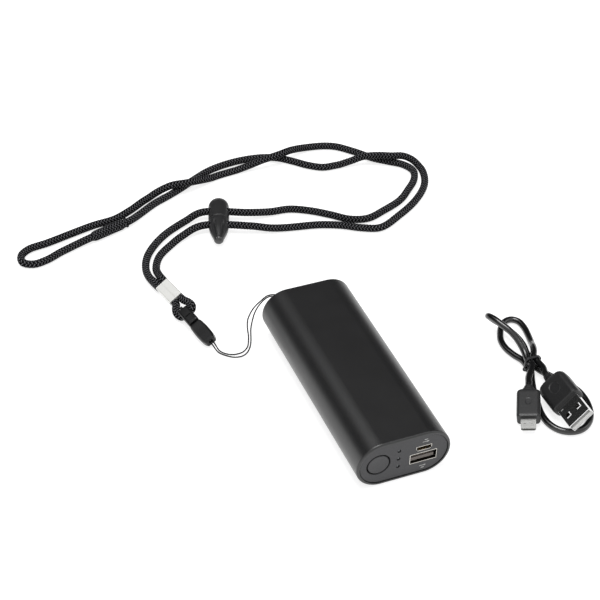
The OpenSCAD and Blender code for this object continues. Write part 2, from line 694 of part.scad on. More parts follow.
module micro_usb_socket() {
    color("#d5d8da") difference() {
        along_y(face_y, face_y + charge_len) translate([socket_x, charge_z]) charge_shape(0);
        along_y(face_y - over, face_y + charge_len - charge_wall)
            translate([socket_x, charge_z]) charge_shape(-charge_wall);
    }
}
module micro_usb_tongue() {
    y0 = face_y + tongue_recess;
    y1 = face_y + charge_len - charge_wall;
    color("#1c1c1d") translate([socket_x, (y0 + y1) / 2, charge_z])
        cube([charge_tongue_w, y1 - y0, charge_tongue_t], center = true);
}
module on_board(x_share, y_share, size) {
    translate([x_share * board_w - size.x / 2, board_y - y_share * board_run - size.y / 2,
        board_z + board_t]) cube(size);
}
module controller_chip() {
    color("#1b1b1c") on_board(0.2, 0.62, [chip_w, chip_w, chip_h]);
}
module boost_inductor() {
    color("#4a4a4d") on_board(-0.25, 0.46, [inductor_w, inductor_w, inductor_h]);
}
module capacitors() {
    color("#b89a6a") for (i = [0 : 3]) on_board(0.18 + 0.08 * i, 0.26, capacitor_size);
}
module mosfets() {
    color("#1b1b1c") for (i = [0, 1]) on_board(-0.25 + (i - 0.5) / 6, 0.84, mosfet_size);
}

module cell(side) {
    translate([side * cell_x, cell_y, mid_z]) rotate([-90, 0, 0])
        cylinder(h = cell_len, r = cell_r, $fn = round_fn);
}
module cell_left() {
    color("#3d7fb5") cell(-1);
}
module cell_right() {
    color("#3d7fb5") cell(1);
}
module strip(y) {
    color("#c9cbcc") translate([0, y + strip_t / 2, mid_z])
        cube([strip_w, strip_t, strip_h], center = true);
}
module nickel_strip_front() {
    strip(cell_y - strip_t);
}
module nickel_strip_rear() {
    strip(cell_end_y);
}
module holder(y) {
    along_y(y, y + holder_len) difference() {
        pill_shape(holder_r);
        for (side = [-1, 1]) translate([side * cell_x, mid_z])
            circle(bore_r, $fn = round_fn);
        for (side = [-1, 1]) {
            translate([-valley_w / 2, mid_z + (side > 0 ? valley_low : -valley_high)])
                square([valley_w, valley_high - valley_low]);
            translate([lead_x - wire_notch_w - lead_r, mid_z + side * holder_r - wire_notch_depth])
                square([wire_notch_w, 2 * wire_notch_depth]);
        }
    }
}
module cell_holder_front() {
    y = cell_y + holder_inset;
    reach = sqrt(pow(holder_r, 2) - pow(mid_z - board_z + shelf_t, 2)) + side_x;
    color("#3b3b3d") union() {
        holder(y);
        for (side = [-1, 1]) translate([side > 0 ? reach - shelf_w : -reach,
            y - shelf_len, board_z - shelf_t])
            cube([shelf_w, shelf_len, shelf_t]);
    }
}
module cell_holder_rear() {
    color("#3b3b3d") holder(cell_end_y - holder_inset - holder_len);
}
module heater(side) {
    z = mid_z + side * (inner_r - heater_t / 2);
    translate([0, heater_y + heater_len / 2, z])
        cube([heater_w, heater_len, heater_t], center = true);
}
module heater_film_top() {
    color("#c07a2c") heater(1);
}
module heater_film_bottom() {
    color("#c07a2c") heater(-1);
}
module pad(side) {
    z = mid_z + side * (inner_r - heater_t - pad_h / 2);
    translate([0, heater_y + (heater_len + pad_margin) / 2, z])
        cube([heater_w, heater_len - pad_margin, pad_h], center = true);
}
module insulation_pad_top() {
    color("#e3e1da") pad(1);
}
module insulation_pad_bottom() {
    color("#e3e1da") pad(-1);
}
module thermistor() {
    z = mid_z + (valley_low + valley_high) / 2;
    y = heater_y + pad_margin * 4;
    end_y = board_y - 2 * lead_bend;
    color("#2f6f4f") union() {
        translate([0, y, z]) sphere(thermistor_r, $fn = round_fn);
        for (side = [-1, 1]) wire([[side * 2 * thin_r, y, z], [side * 2 * thin_r, end_y, z],
            [side * 2 * thin_r, end_y, board_z + board_t]], thin_r);
    }
}
module battery_lead_red() {
    z = board_z - strip_h / 2 + lead_r;
    color("#b3261e") wire([[-lead_x, cell_y - strip_t, z], [-lead_x, board_y - lead_bend, z],
        [-lead_x, board_y - lead_bend, board_z]], lead_r);
}
module battery_lead_black() {
    z = mid_z - (valley_low + valley_high) / 2;
    low = mid_z - strip_h / 2 + lead_r;
    y = cell_end_y + strip_t;
    color("#1f1f20") wire([[0, y, low], [0, y + lead_bend, low], [0, y + lead_bend, z],
        [0, y - strip_t - lead_bend, z], [0, board_y - lead_bend, z],
        [0, board_y - lead_bend, board_z]], lead_r);
}
module heater_leads() {
    end_y = board_y - 3 * lead_bend;
    color("#8e2b24") for (side = [-1, 1], i = [0, 1]) {
        x = lead_x - wire_notch_w / 2 - lead_r + (i - 0.5) * 3 * heater_lead_r;
        z = mid_z + side * (inner_r - heater_t - heater_lead_r - rest_gap);
        z_end = side > 0 ? board_z + board_t : board_z;
        wire([[x, heater_y + pad_margin - rest_gap, z], [x, end_y, z], [x, end_y, z_end]],
            heater_lead_r);
    }
}
module rear_foam_pad() {
    y0 = cell_end_y + strip_t + rest_gap;
    notch = pocket_wall + 4 * rest_gap;
    color("#8f9294") difference() {
        along_y(y0, rear_plate_y - rest_gap) pill_shape(skirt_r - 2 * rest_gap);
        along_y(rear_face_y - pocket_depth - notch, rear_plate_y + over)
            translate([pocket_x, pocket_z])
            square([pocket_w + 2 * notch, pocket_h + 2 * notch], center = true);
        translate([-2 * lead_r, y0 - over, 0])
            cube([4 * lead_r, over + lead_bend + 2 * lead_r, body_t / 2]);
    }
}

// The clip's socket half, in the clip's frame
socket_half_x = clip_plug_len + clip_gap;
module socket_half_blank() {
    w = clip_socket_w;
    l = clip_socket_len;
    intersection() {
        translate([socket_half_x, 0, clip_z + clip_h / 2]) round_box(w, clip_h, l, clip_round);
        translate([socket_half_x, 0, clip_z - over]) linear_extrude(clip_h + 2 * over)
            polygon([[0, -0.44 * w], [0.15 * l, -0.47 * w], [0.4 * l, -w / 2], [0.8 * l, -0.47 * w],
                [l, -0.36 * w], [l, 0.36 * w], [0.8 * l, 0.47 * w], [0.4 * l, w / 2],
                [0.15 * l, 0.47 * w], [0, 0.44 * w]]);
    }
}
module buckle_socket() {
    color("#1d1d1f") in_clip_frame() difference() {
        socket_half_blank();
        translate([socket_half_x - over, 0, clip_z + clip_h / 2])
            translate([(tongue_reach + over) / 2, 0, 0])
            cube([tongue_reach + over, clip_socket_w - 2 * clip_wall,
                clip_h - 2 * clip_wall], center = true);
    }
}
module buckle_plug() {
    z = clip_z + clip_h / 2;
    in_w = clip_socket_w - 2 * clip_wall - 2 * prong_gap;
    in_h = clip_h - 2 * clip_wall - 2 * prong_gap;
    color("#232325") in_clip_frame() difference() {
        union() {
            translate([0, 0, z]) round_box(clip_plug_w, clip_h, clip_plug_len, clip_round);
            translate([-tail_bar_len, 0, clip_z + clip_h / 3])
                round_box(web_w, clip_h / 2, tail_bar_len + clip_round, web_w / 4);
            for (side = [-1, 1]) translate([clip_plug_len - over, side * in_w / 3, z])
                rotate([0, 90, 0]) translate([0, 0, (tongue_reach + clip_gap - prong_gap) / 2])
                cube([in_h, in_w / 3, tongue_reach + clip_gap - prong_gap], center = true);
        }
        translate([eye_x, 0, eye_z]) rotate([90, 0, 0])
            cylinder(h = 2 * clip_plug_w, r = eye_hole_r, center = true, $fn = round_fn);
        for (side = [-1, 1]) translate([-over, side > 0 ? web_w / 2 : -web_w / 2 - clip_plug_w,
            eye_z - eye_hole_r])
            cube([eye_x + eye_hole_r + over, clip_plug_w, 2 * eye_hole_r]);
        translate([eye_x + eye_hole_r + panel_inset, -clip_plug_w / 4, clip_z + clip_h - panel_depth])
            cube([clip_plug_len - eye_x - eye_hole_r - 2 * panel_inset, clip_plug_w / 2,
                panel_depth + over]);
    }
}
module lanyard_eye_loop() {
    color("#18181a") in_crimp_frame() tube(eye_route, cord_d / 2, 8);
}
module cord_crimp() {
    color("#c8cbce") in_crimp_frame() difference() {
        translate([0, -crimp_w / 2, 0]) cube([crimp_len, crimp_w, crimp_h]);
        for (side = [-1, 1]) translate([crimp_len / 2, 0, side > 0 ? crimp_h : 0])
            rotate([0, 90, 0]) rotate([0, 0, 45])
            cube([strand_gap / 5, strand_gap / 5, crimp_len + 2 * over], center = true);
    }
}
module lanyard_cord() {
    color("#18181a") tube(lanyard_route, cord_d / 2, 8);
}
module splice_sleeve() {
    d = unit(splice_to - splice_from);
    color("#1b1b1d") difference() {
        rod(splice_from + splice_margin * d, splice_to - splice_margin * d, splice_d / 2);
        rod(splice_from, splice_to, cord_d / 2 + 2 * rest_gap);
    }
}
module slide_bead_head() {
    r = bead_t / 2;
    end = bead_seam + bead_seam_gap / 2;
    color("#222224") difference() {
        translate(bead_at) rotate([0, 0, bead_yaw]) hull() {
            for (side = [-1, 1]) translate([end + bead_head_len - r, side * (bead_w / 2 - r), r])
                sphere(r, $fn = form_fn);
            for (side = [-1, 1]) translate([end, side * (bead_w / 2 - r), r]) rotate([0, 90, 0])
                cylinder(h = 0.1 * bead_head_len, r = r, $fn = form_fn);
        }
        rod(through_bead(1, -bead_w), through_bead(1, bead_w), bead_hole_r);
    }
}
module slide_bead_tail() {
    r = bead_t / 2;
    end = bead_seam - bead_seam_gap / 2;
    tip_r = 0.2 * bead_t;
    color("#222224") difference() {
        translate(bead_at) rotate([0, 0, bead_yaw]) hull() {
            for (side = [-1, 1]) translate([end - 0.35 * bead_tail_len,
                side * (0.54 * bead_w - r), r]) rotate([0, 90, 0])
                cylinder(h = 0.35 * bead_tail_len, r = r, $fn = form_fn);
            translate([end - bead_tail_len + tip_r, 0, bead_hole_z - tip_r])
                sphere(tip_r, $fn = form_fn);
        }
        rod(through_bead(-1, -bead_w), through_bead(-1, bead_w), bead_hole_r);
    }
}
function beside(p, q, h) = let (d = unit([q.x - p.x, q.y - p.y, 0])) p + h * [-d.y, d.x, 0];
module tether_string() {
    m = tether_middle;
    n = len(m) - 1;
    out = clip_socket_len + socket_half_x;
    z = clip_z + clip_h / 2;
    loop_r = bar_r + string_d / 2 + 4 * rest_gap;
    strand = [for (side = [-1, 1]) [for (i = [0 : n])
        beside(m[i], i < n ? m[i + 1] : 2 * m[n] - m[n - 1],
            -side * string_half_gap * tether_gap_shares[i])]];
    ends = [for (side = [-1, 1]) [for (x = [0, neck_straight]) at_clip([out + x,
        -side * string_half_gap, z])]];
    in_pocket = [for (side = [-1, 1]) [[pocket_x - side * loop_r, half_len + 2 * string_d, pocket_z],
        [pocket_x - side * loop_r, bar_y, pocket_z]]];
    around = [for (a = [30 : 30 : 150])
        [pocket_x + loop_r * cos(a), bar_y - loop_r * sin(a), pocket_z]];
    color("#1a1a1b") tube(concat(ends[0], strand[0], in_pocket[0], around,
        [for (i = [1, 0]) in_pocket[1][i]], [for (i = [n : -1 : 0]) strand[1][i]],
        [for (i = [1, 0]) ends[1][i]]), string_d / 2, 8);
}

module cable_cord() {
    color("#161617") tube(cable_route, cable_d / 2, 8);
}
module usb_a_plug_body() {
    color("#19191a") translate(large_plug_at) rotate(large_plug_turn)
        translate([0, 0, plug_shell_h / 2]) union() {
            translate([-grip_len, 0, 0]) round_box(grip_w, grip_h, grip_len, grip_round);
            translate([-grip_len - large_neck_len, 0, 0]) rotate([0, 90, 0])
                cylinder(h = large_neck_len, r = neck_r, $fn = round_fn);
        }
}
module usb_a_plug_shell() {
    in_w = plug_shell_w - 2 * socket_wall;
    in_h = plug_shell_h - 2 * socket_wall;
    hole = plug_shell_w / 5;
    color("#d8dadc") translate(large_plug_at) rotate(large_plug_turn) difference() {
        translate([0, -plug_shell_w / 2, 0]) cube([plug_shell_len, plug_shell_w, plug_shell_h]);
        translate([-over, -in_w / 2, socket_wall]) cube([plug_shell_len + 2 * over, in_w, in_h]);
        for (side = [-1, 1]) translate([plug_shell_len * 0.45, side * plug_shell_w / 4 - hole / 2,
            plug_shell_h - socket_wall - over])
            cube([hole, hole, socket_wall + 2 * over]);
    }
}
module usb_a_plug_insert() {
    in_w = plug_shell_w - 2 * socket_wall - 2 * rest_gap;
    color("#e6e6e2") translate(large_plug_at) rotate(large_plug_turn)
        translate([0, -in_w / 2, socket_wall])
        cube([plug_shell_len - tongue_recess / 2, in_w, plug_shell_h * 0.43]);
}
module micro_plug_body() {
    color("#19191a") translate(small_plug_at) rotate(small_plug_turn)
        translate([0, 0, small_shell_h / 2]) union() {
            translate([-small_grip_len, 0, 0])
                round_box(small_grip_w, small_grip_h, small_grip_len, small_grip_round);
            translate([-small_grip_len - small_neck_len, 0, 0]) rotate([0, 90, 0])
                cylinder(h = small_neck_len, r = small_neck_r, $fn = round_fn);
        }
}
module micro_plug_shell() {
    w = small_shell_w / 2;
    h = small_shell_h;
    color("#d8dadc") translate(small_plug_at) rotate(small_plug_turn) rotate([90, 0, 90])
        difference() {
            linear_extrude(small_shell_len)
                polygon([[-w, h], [w, h], [w, 0.4 * h], [0.78 * w, 0], [-0.78 * w, 0], [-w, 0.4 * h]]);
            translate([0, 0, small_shell_len - 2 * charge_wall - charge_len / 2])
                linear_extrude(small_shell_len)
                translate([0, h / 2]) square([1.5 * w, h - 2 * charge_wall], center = true);
        }
}
module cable_tie() {
    in_side = tie_step + cable_d + 2 * tie_gap;
    out_side = in_side + 2 * tie_t;
    z = tie_low + tie_step / 2;
    color("#3a3a3c") translate(tie_at + [0, 0, z]) rotate([90, 0, 0])
        linear_extrude(tie_w, center = true) difference() {
            box_shape(out_side, out_side, cable_d / 2 + tie_gap + tie_t);
            box_shape(in_side, in_side, cable_d / 2 + tie_gap);
        }
}

sleeve();
front_cap();
rear_cap();
power_button();
switch_plunger();
tact_switch();
indicator_board();
status_leds();
light_guide();
main_board();
usb_a_socket();
usb_a_tongue();
micro_usb_socket();
micro_usb_tongue();
controller_chip();
boost_inductor();
capacitors();
mosfets();
cell_left();
cell_right();
nickel_strip_front();
nickel_strip_rear();
cell_holder_front();
cell_holder_rear();
heater_film_top();
heater_film_bottom();
insulation_pad_top();
insulation_pad_bottom();
thermistor();
battery_lead_red();
battery_lead_black();
heater_leads();
rear_foam_pad();
tether_string();
buckle_socket();
buckle_plug();
lanyard_eye_loop();
cord_crimp();
lanyard_cord();
splice_sleeve();
slide_bead_head();
slide_bead_tail();
cable_cord();
usb_a_plug_body();
usb_a_plug_shell();
usb_a_plug_insert();
micro_plug_body();
micro_plug_shell();
cable_tie();
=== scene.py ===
"""Rechargeable hand warmer with its neck lanyard and its charging cable."""

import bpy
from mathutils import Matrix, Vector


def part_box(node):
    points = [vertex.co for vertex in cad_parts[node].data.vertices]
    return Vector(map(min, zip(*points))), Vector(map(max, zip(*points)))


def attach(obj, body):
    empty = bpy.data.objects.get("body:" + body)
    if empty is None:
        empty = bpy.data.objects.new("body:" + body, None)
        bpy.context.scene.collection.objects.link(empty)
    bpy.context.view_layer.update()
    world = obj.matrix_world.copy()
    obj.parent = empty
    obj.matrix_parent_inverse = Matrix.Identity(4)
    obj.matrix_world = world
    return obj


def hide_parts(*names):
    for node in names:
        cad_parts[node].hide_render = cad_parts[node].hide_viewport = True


bl_info = {
    "name": "Rechargeable hand warmer",
    "version": (1, 0, 0),
    "blender": (4, 5, 0),
    "location": "View3D > Sidebar > Hand warmer",
    "description": "Makes the hand warmer, its lanyard and its charging cable",
    "category": "Object",
}

import math

import bmesh
import bpy
import numpy as np
from bpy.props import FloatProperty, FloatVectorProperty, PointerProperty
from mathutils import Matrix, Vector

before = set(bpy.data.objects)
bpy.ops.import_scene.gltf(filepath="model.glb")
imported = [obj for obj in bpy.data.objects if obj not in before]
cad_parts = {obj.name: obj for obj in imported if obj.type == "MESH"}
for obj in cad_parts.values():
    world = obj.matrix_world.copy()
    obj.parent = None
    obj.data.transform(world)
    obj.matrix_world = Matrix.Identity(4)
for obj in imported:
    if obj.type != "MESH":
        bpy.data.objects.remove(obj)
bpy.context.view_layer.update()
MM = 0.001


def span(node):
    """A node's lowest corner, highest corner and middle, in millimetres."""
    low, high = (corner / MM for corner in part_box(node))
    return low, high, (low + high) / 2


def linear(code):
    """A colour written as sRGB hex, turned linear."""
    parts = [int(code[i:i + 2], 16) / 255 for i in (1, 3, 5)]
    return tuple(c / 12.92 if c <= 0.04045 else ((c + 0.055) / 1.055) ** 2.4 for c in parts)


SLEEVE_LOW, SLEEVE_HIGH, _ = span("sleeve")


# Settings


class WarmerSettings(bpy.types.PropertyGroup):
    sleeve_width: FloatProperty(
        name="Sleeve width", description="Width of the metal sleeve",
        default=(SLEEVE_HIGH.x - SLEEVE_LOW.x) * MM, unit="LENGTH")
    sleeve_wall: FloatProperty(
        name="Sleeve wall", description="Wall of the metal sleeve", default=1.4 * MM, unit="LENGTH")
    rim_round: FloatProperty(
        name="Rim rounding", description="Rounding of the sleeve's end rims",
        default=1.0 * MM, unit="LENGTH")
    groove: FloatProperty(
        name="Groove", description="Width of the groove around each cap's face",
        default=0.1 * MM, unit="LENGTH")
    sleeve_colour: FloatVectorProperty(
        name="Sleeve colour", description="Dyed anodic film on the sleeve", subtype="COLOR",
        default=linear("#111112"))
    cap_colour: FloatVectorProperty(
        name="Cap colour", description="Moulded end caps", subtype="COLOR",
        default=linear("#434345"))


class LanyardSettings(bpy.types.PropertyGroup):
    cord_diameter: FloatProperty(
        name="Cord diameter", description="Diameter of the braided cord",
        default=3.8 * MM, unit="LENGTH")
    splice_diameter: FloatProperty(
        name="Splice diameter", description="Diameter of the braided sleeve over the joint",
        default=5.3 * MM, unit="LENGTH")
    string_diameter: FloatProperty(
        name="String diameter", description="Diameter of the thin string",
        default=0.64 * MM, unit="LENGTH")
    braid_depth: FloatProperty(
        name="Braid depth", description="How far the braid's strands stand out",
        default=0.13 * MM, unit="LENGTH")
    braid_pitch: FloatProperty(
        name="Braid pitch", description="Length of one crossing along the cord",
        default=1.65 * MM, unit="LENGTH")
    cord_colour: FloatVectorProperty(
        name="Cord colour", description="Dyed polyester of the cord", subtype="COLOR",
        default=linear("#0a0a0b"))


class CableSettings(bpy.types.PropertyGroup):
    cable_diameter: FloatProperty(
        name="Cable diameter", description="Diameter of the charging cable",
        default=3.2 * MM, unit="LENGTH")
    jacket_colour: FloatVectorProperty(
        name="Jacket colour", description="Jacket of the charging cable", subtype="COLOR",
        default=linear("#0c0c0d"))


class StageSettings(bpy.types.PropertyGroup):
    key_power: FloatProperty(
        name="Key light", description="Power of the large soft light", default=12.0, unit="POWER")
    fill_power: FloatProperty(
        name="Fill light", description="Power of the fill light", default=1.5, unit="POWER")
    sky: FloatProperty(
        name="Room light", description="Strength of the light from all round", default=0.72)


# Materials


WHITE = (1, 1, 1, 1)
CLOUD = 14  # millimetres over which a surface's gloss drifts a little


def node(tree, kind, inputs=None, **settings):
    """Adds a shader node and sets it up; a node or socket among its inputs is linked."""
    made = tree.nodes.new(kind)
    for name, value in settings.items():
        setattr(made, name, value)
    for name, value in (inputs or {}).items():
        if isinstance(value, bpy.types.Node):
            value = next(out for out in value.outputs if out.enabled)
        if isinstance(value, bpy.types.NodeSocket):
            tree.links.new(value, made.inputs[name])
        else:
            made.inputs[name].default_value = value
    return made


def rgba(colour):
    """A colour socket's value, from sRGB hex or from a setting."""
    return (*(linear(colour) if isinstance(colour, str) else colour), 1)


def blank(name):
    """A new material without nodes."""
    material = bpy.data.materials.new(name)
    material.use_nodes = True
    material.node_tree.nodes.clear()
    return material, material.node_tree


def grained(name, colour, tint, rough, grain, depth, stretch=(1, 1, 1), **sockets):
    """A moulded, blasted or drawn surface: grained height and colour, and a drifting gloss."""
    material, tree = blank(name)
    at = node(tree, "ShaderNodeTexCoord").outputs["Object"]
    place = node(tree, "ShaderNodeMapping", {"Vector": at, "Scale": stretch})
    fine = node(tree, "ShaderNodeTexNoise", {
        "Vector": place, "Scale": 1 / (grain * MM), "Detail": 3.0, "Roughness": 0.6})
    broad = node(tree, "ShaderNodeTexNoise", {
        "Vector": at, "Scale": 1 / (CLOUD * MM), "Detail": 2.0})
    shade = node(tree, "ShaderNodeMapRange", {"Value": fine, "From Min": 0.3, "From Max": 0.7})
    paint = node(tree, "ShaderNodeMix", {
        "Factor": shade, "A": rgba(colour), "B": rgba(tint)}, data_type="RGBA")
    gloss = node(tree, "ShaderNodeMapRange", {
        "Value": broad, "From Min": 0.3, "From Max": 0.7, "To Min": rough * 0.96,
        "To Max": rough * 1.04})
    bump = node(tree, "ShaderNodeBump", {
        "Height": fine, "Strength": 1.0, "Distance": depth * MM})
    shader = node(tree, "ShaderNodeBsdfPrincipled", {
        "Base Color": paint, "Roughness": gloss, "Normal": bump, **sockets})
    node(tree, "ShaderNodeOutputMaterial", {"Surface": shader})
    return material


def braided(name, colour, tint, rough):
    """Dyed braid: crowned strands that pass over and under each other, with painted sheen on the
    crowns and painted shade in the valleys.
    """
    material, tree = blank(name)
    parts = node(tree, "ShaderNodeSeparateXYZ", {
        "Vector": node(tree, "ShaderNodeUVMap", uv_map="Braid")}).outputs
    crowns, rows = [], []
    for way in ("ADD", "SUBTRACT"):
        run = node(tree, "ShaderNodeMath", {0: parts["X"], 1: parts["Y"]}, operation=way)
        crowns.append(node(tree, "ShaderNodeMath", {0: run, 1: 0.5}, operation="PINGPONG"))
        rows.append(node(tree, "ShaderNodeMath", {0: run}, operation="FLOOR"))
    both = node(tree, "ShaderNodeMath", {0: rows[0], 1: rows[1]}, operation="ADD")
    turn = node(tree, "ShaderNodeMath", {0: both, 1: 1.0}, operation="PINGPONG")
    height = node(tree, "ShaderNodeMix", {"Factor": turn, "A": crowns[0], "B": crowns[1]})
    # Lint is drawn at 0.6 mm, because single fibres would be too fine to show
    lint = node(tree, "ShaderNodeTexNoise", {
        "Vector": node(tree, "ShaderNodeTexCoord").outputs["Object"],
        "Scale": 1 / (0.6 * MM), "Detail": 3.0})
    crown = node(tree, "ShaderNodeMapRange", {
        "Value": height, "From Min": 0.29, "From Max": 0.45})
    # Painted sheen lightens the crowns and painted shade darkens the valleys, broken up by lint
    crown_sheen_and_lint = node(tree, "ShaderNodeMath", {0: crown, 1: lint}, operation="MULTIPLY")
    share = node(tree, "ShaderNodeMapRange", {"Value": crown_sheen_and_lint, "From Max": 0.6})
    paint = node(tree, "ShaderNodeMix", {
        "Factor": share, "A": rgba(colour), "B": rgba(tint)}, data_type="RGBA")
    bump = node(tree, "ShaderNodeBump", {
        "Height": height, "Strength": 1.0, "Distance": 0.5 * MM})
    gleam = node(tree, "ShaderNodeMapRange", {"Value": crown, "To Max": 0.34})
    shader = node(tree, "ShaderNodeBsdfPrincipled", {
        "Base Color": paint, "Roughness": rough, "Normal": bump, "Specular IOR Level": gleam})
    node(tree, "ShaderNodeOutputMaterial", {"Surface": shader})
    return material


def glazed(name, colour, rough):
    """Smoky moulded acrylic, with a faint haze that varies through it every 1.5 mm."""
    material, tree = blank(name)
    haze = node(tree, "ShaderNodeTexNoise", {
        "Vector": node(tree, "ShaderNodeTexCoord").outputs["Object"],
        "Scale": 1 / (1.5 * MM), "Detail": 2.0})
    gloss = node(tree, "ShaderNodeMapRange", {
        "Value": haze, "To Min": rough * 0.7, "To Max": rough * 1.3})
    shader = node(tree, "ShaderNodeBsdfPrincipled", {
        "Base Color": rgba(colour), "Roughness": gloss, "IOR": 1.49})
    node(tree, "ShaderNodeOutputMaterial", {"Surface": shader})
    return material


METAL = {"Metallic": 1.0}

# What grained() makes: the surface's real name, its colour and its grain's tint, roughness,
# grain width and grain depth in millimetres, and what else differs. Blasting, moulds and
# plating leave grain of 0.02 to 0.1 mm, too fine to show, so it is drawn coarser here.
PLAIN = {
    # ABS from a spark-eroded mould: dull, a little paler than the sleeve
    "button": ("moulded_abs_button", "#38383a", "#434345", 0.46, 0.45, 0.014),
    "holder": ("moulded_abs_holder", "#3b3b3d", "#444446", 0.5, 0.5, 0.01),
    "switch": ("nylon_switch_body", "#3a3a3c", "#444446", 0.5, 0.3, 0.008),
    # ABS from a polished mould: a wide, soft highlight
    "bead": ("black_abs_bead", "#1b1b1c", "#232324", 0.36, 0.5, 0.003,
             {"Specular IOR Level": 0.9}),
    # Acetal from a polished mould: deep black with small, clear highlights
    "acetal": ("black_acetal", "#121213", "#19191a", 0.22, 0.8, 0.004,
               {"Specular IOR Level": 0.3}),
    "plunger": ("white_acetal", "#e9e6dc", "#dedbd0", 0.35, 0.4, 0.004),
    # Steel with a bright nickel plate: mirror-like, with faint lines along the draw
    "nickel": ("nickel_plated_steel", "#d2cfc9", "#c4c1bb", 0.2, 0.6, 0.002,
               {"stretch": (1, 0.2, 1), **METAL}),
    "plug_steel": ("nickel_plated_plug_shell", "#cfcfcf", "#bdbdbd", 0.16, 0.5, 0.003,
                   {"stretch": (0.2, 1, 1), **METAL}),
    # Zinc and satin nickel: pale from every side, so only partly metallic. White steel with painted
    # highlights on the plug shell's edges
    "crimp": ("bright_zinc_plated_steel", "#f4f4f1", "#eeeeea", 0.3, 0.3, 0.002,
              {"Metallic": 0.45}),
    "satin_nickel": ("satin_nickel_plated_steel", "#c6c6c4", "#b0b0ae", 0.34, 0.4, 0.004,
                     {"Metallic": 0.6}),
    "painted_highlight_steel": ("steel_edge_painted_highlight", "#ffffff", "#f2f2f2", 0.4, 0.4, 0.002,
                {"Metallic": 0.2}),
    # The same nickel inside a socket, painted nearly dark: painted shade
    "painted_shade_nickel": ("nickel_inside_painted_shade", "#3a3733", "#302d2a", 0.45, 0.6, 0.004, METAL),
    # Gold plate on bronze contacts: small warm glints
    "gold": ("gold_plated_bronze", "#d9b36a", "#cda75f", 0.25, 0.3, 0.001, METAL),
    # Glass-filled crystal polymer and white polyester insulators: dry and even
    "tongue": ("glass_filled_lcp", "#857d78", "#75706b", 0.45, 0.3, 0.004),
    # Crystal polymer painted dark: painted shade on the tongue's rear and under the plug's windows
    "painted_shade_lcp": ("lcp_with_painted_shade", "#2c2725", "#36302d", 0.4, 0.3, 0.004),
    "tan_tongue": ("tan_lcp", "#a39278", "#94846c", 0.4, 0.3, 0.004),
    "white_insert": ("white_pbt", "#f0f0ee", "#e6e6e3", 0.4, 0.3, 0.004),
    # Screen-printed ink: flat and slightly grey
    "print": ("white_screen_print", "#d8d8d6", "#cacac8", 0.6, 0.2, 0.002),
    # Soft vinyl from a fine-eroded mould: a blurred sheen on its shoulders
    "overmould": ("black_vinyl_overmould", "#1b1b1c", "#242425", 0.4, 0.4, 0.014),
    "tie": ("plastic_covered_wire", "#242426", "#333335", 0.4, 0.3, 0.008),
    # Boards and what is soldered on them: green mask, matt chips, one dark core
    "mask_green": ("solder_mask_on_fr4", "#1d5b3a", "#17492f", 0.3, 1.2, 0.006),
    "led": ("led_phosphor", "#e6e0b0", "#d8d0a0", 0.4, 0.3, 0.004),
    "chip": ("epoxy_moulded_chip", "#1b1b1c", "#252526", 0.55, 0.2, 0.006),
    "ferrite": ("ferrite_core", "#4a4a4d", "#3c3c3f", 0.6, 0.3, 0.02),
    "ceramic": ("tin_ended_ceramic", "#b89a6a", "#a88a5a", 0.4, 0.3, 0.004),
    "resin": ("epoxy_dipped_bead", "#2f6f4f", "#285f43", 0.3, 0.6, 0.008),
    # Cells: shiny shrunk film with long ripples, and rolled nickel strip
    "wrap": ("shrink_wrap_film", "#3d7fb5", "#3875a7", 0.28, 4.0, 0.02),
    "strip": ("pure_nickel_strip", "#b9bab9", "#a9aaa9", 0.34, 0.4, 0.004,
              {"stretch": (0.15, 1, 1), **METAL}),
    # Heater film, pads and leads: amber gloss, two dry pale felts, rubbery wires
    "film": ("polyimide_film", "#b06c24", "#9c5c1c", 0.25, 2.0, 0.01),
    "foam": ("eva_foam", "#8f9294", "#7f8284", 0.9, 0.5, 0.08),
    "pad": ("ceramic_fibre_pad", "#dcdad2", "#ccc9c0", 0.95, 0.6, 0.1),
    "red_wire": ("red_silicone", "#b3261e", "#a02019", 0.45, 0.6, 0.006),
    "black_wire": ("black_silicone", "#1f1f20", "#29292a", 0.45, 0.6, 0.006),
}
FINISHES = {}


def finish(key):
    """One of the object's finishes; all of them are made the first time."""
    if not FINISHES:
        make_finishes()
    return FINISHES[key]


def make_finishes():
    """Makes every finish of the object."""
    scene = bpy.context.scene
    for key, row in PLAIN.items():
        FINISHES[key] = grained(*row[:6], **dict(*row[6:]))
    # Aluminium, bead blasted and dyed black in the anodic film: a fine, dry satin that goes
    # pale at a glancing angle
    FINISHES["anodised"] = grained(
        "black_anodised_aluminium", scene.hand_warmer.sleeve_colour, "#161617", 0.37, 0.28, 0.006,
        **{"Specular IOR Level": 0.76, "Sheen Weight": 0.45, "Sheen Roughness": 0.25})
    # Polycarbonate and ABS from a spark-eroded mould: dull, and greyer than the sleeve
    FINISHES["cap"] = grained(
        "moulded_pc_abs", scene.hand_warmer.cap_colour, "#4c4c4e", 0.5, 0.35, 0.012,
        **{"Specular IOR Level": 0.4})
    # Soft vinyl pulled smooth from the die: long, clear highlights
    FINISHES["jacket"] = grained(
        "black_vinyl_jacket", scene.hand_warmer_cable.jacket_colour, "#111112", 0.2, 1.0, 0.004,
        **{"Specular IOR Level": 0.8})
    # Smoked acrylic rods: dark with a small glint
    FINISHES["guide"] = glazed("smoked_acrylic", "#6f7275", 0.16)
    # Dyed polyester and nylon braid: painted shade in the black valleys and painted sheen on the
    # grey crowns. The cord's real crossings are under 1 mm long, too fine to show, and are drawn
    # coarser by the braid's pitch
    FINISHES["braid"] = braided(
        "black_polyester_braid", scene.hand_warmer_lanyard.cord_colour, "#626266", 0.5)
    FINISHES["string"] = braided("black_nylon_string", "#101011", "#2a2a2c", 0.4)


# Mesh helpers, all in millimetres


ALONG_X = Matrix(((0, 0, 1, 0), (1, 0, 0, 0), (0, 1, 0, 0), (0, 0, 0, 1)))
ALONG_Y = Matrix(((1, 0, 0, 0), (0, 0, 1, 0), (0, 1, 0, 0), (0, 0, 0, 1)))
OPEN = (False, False)


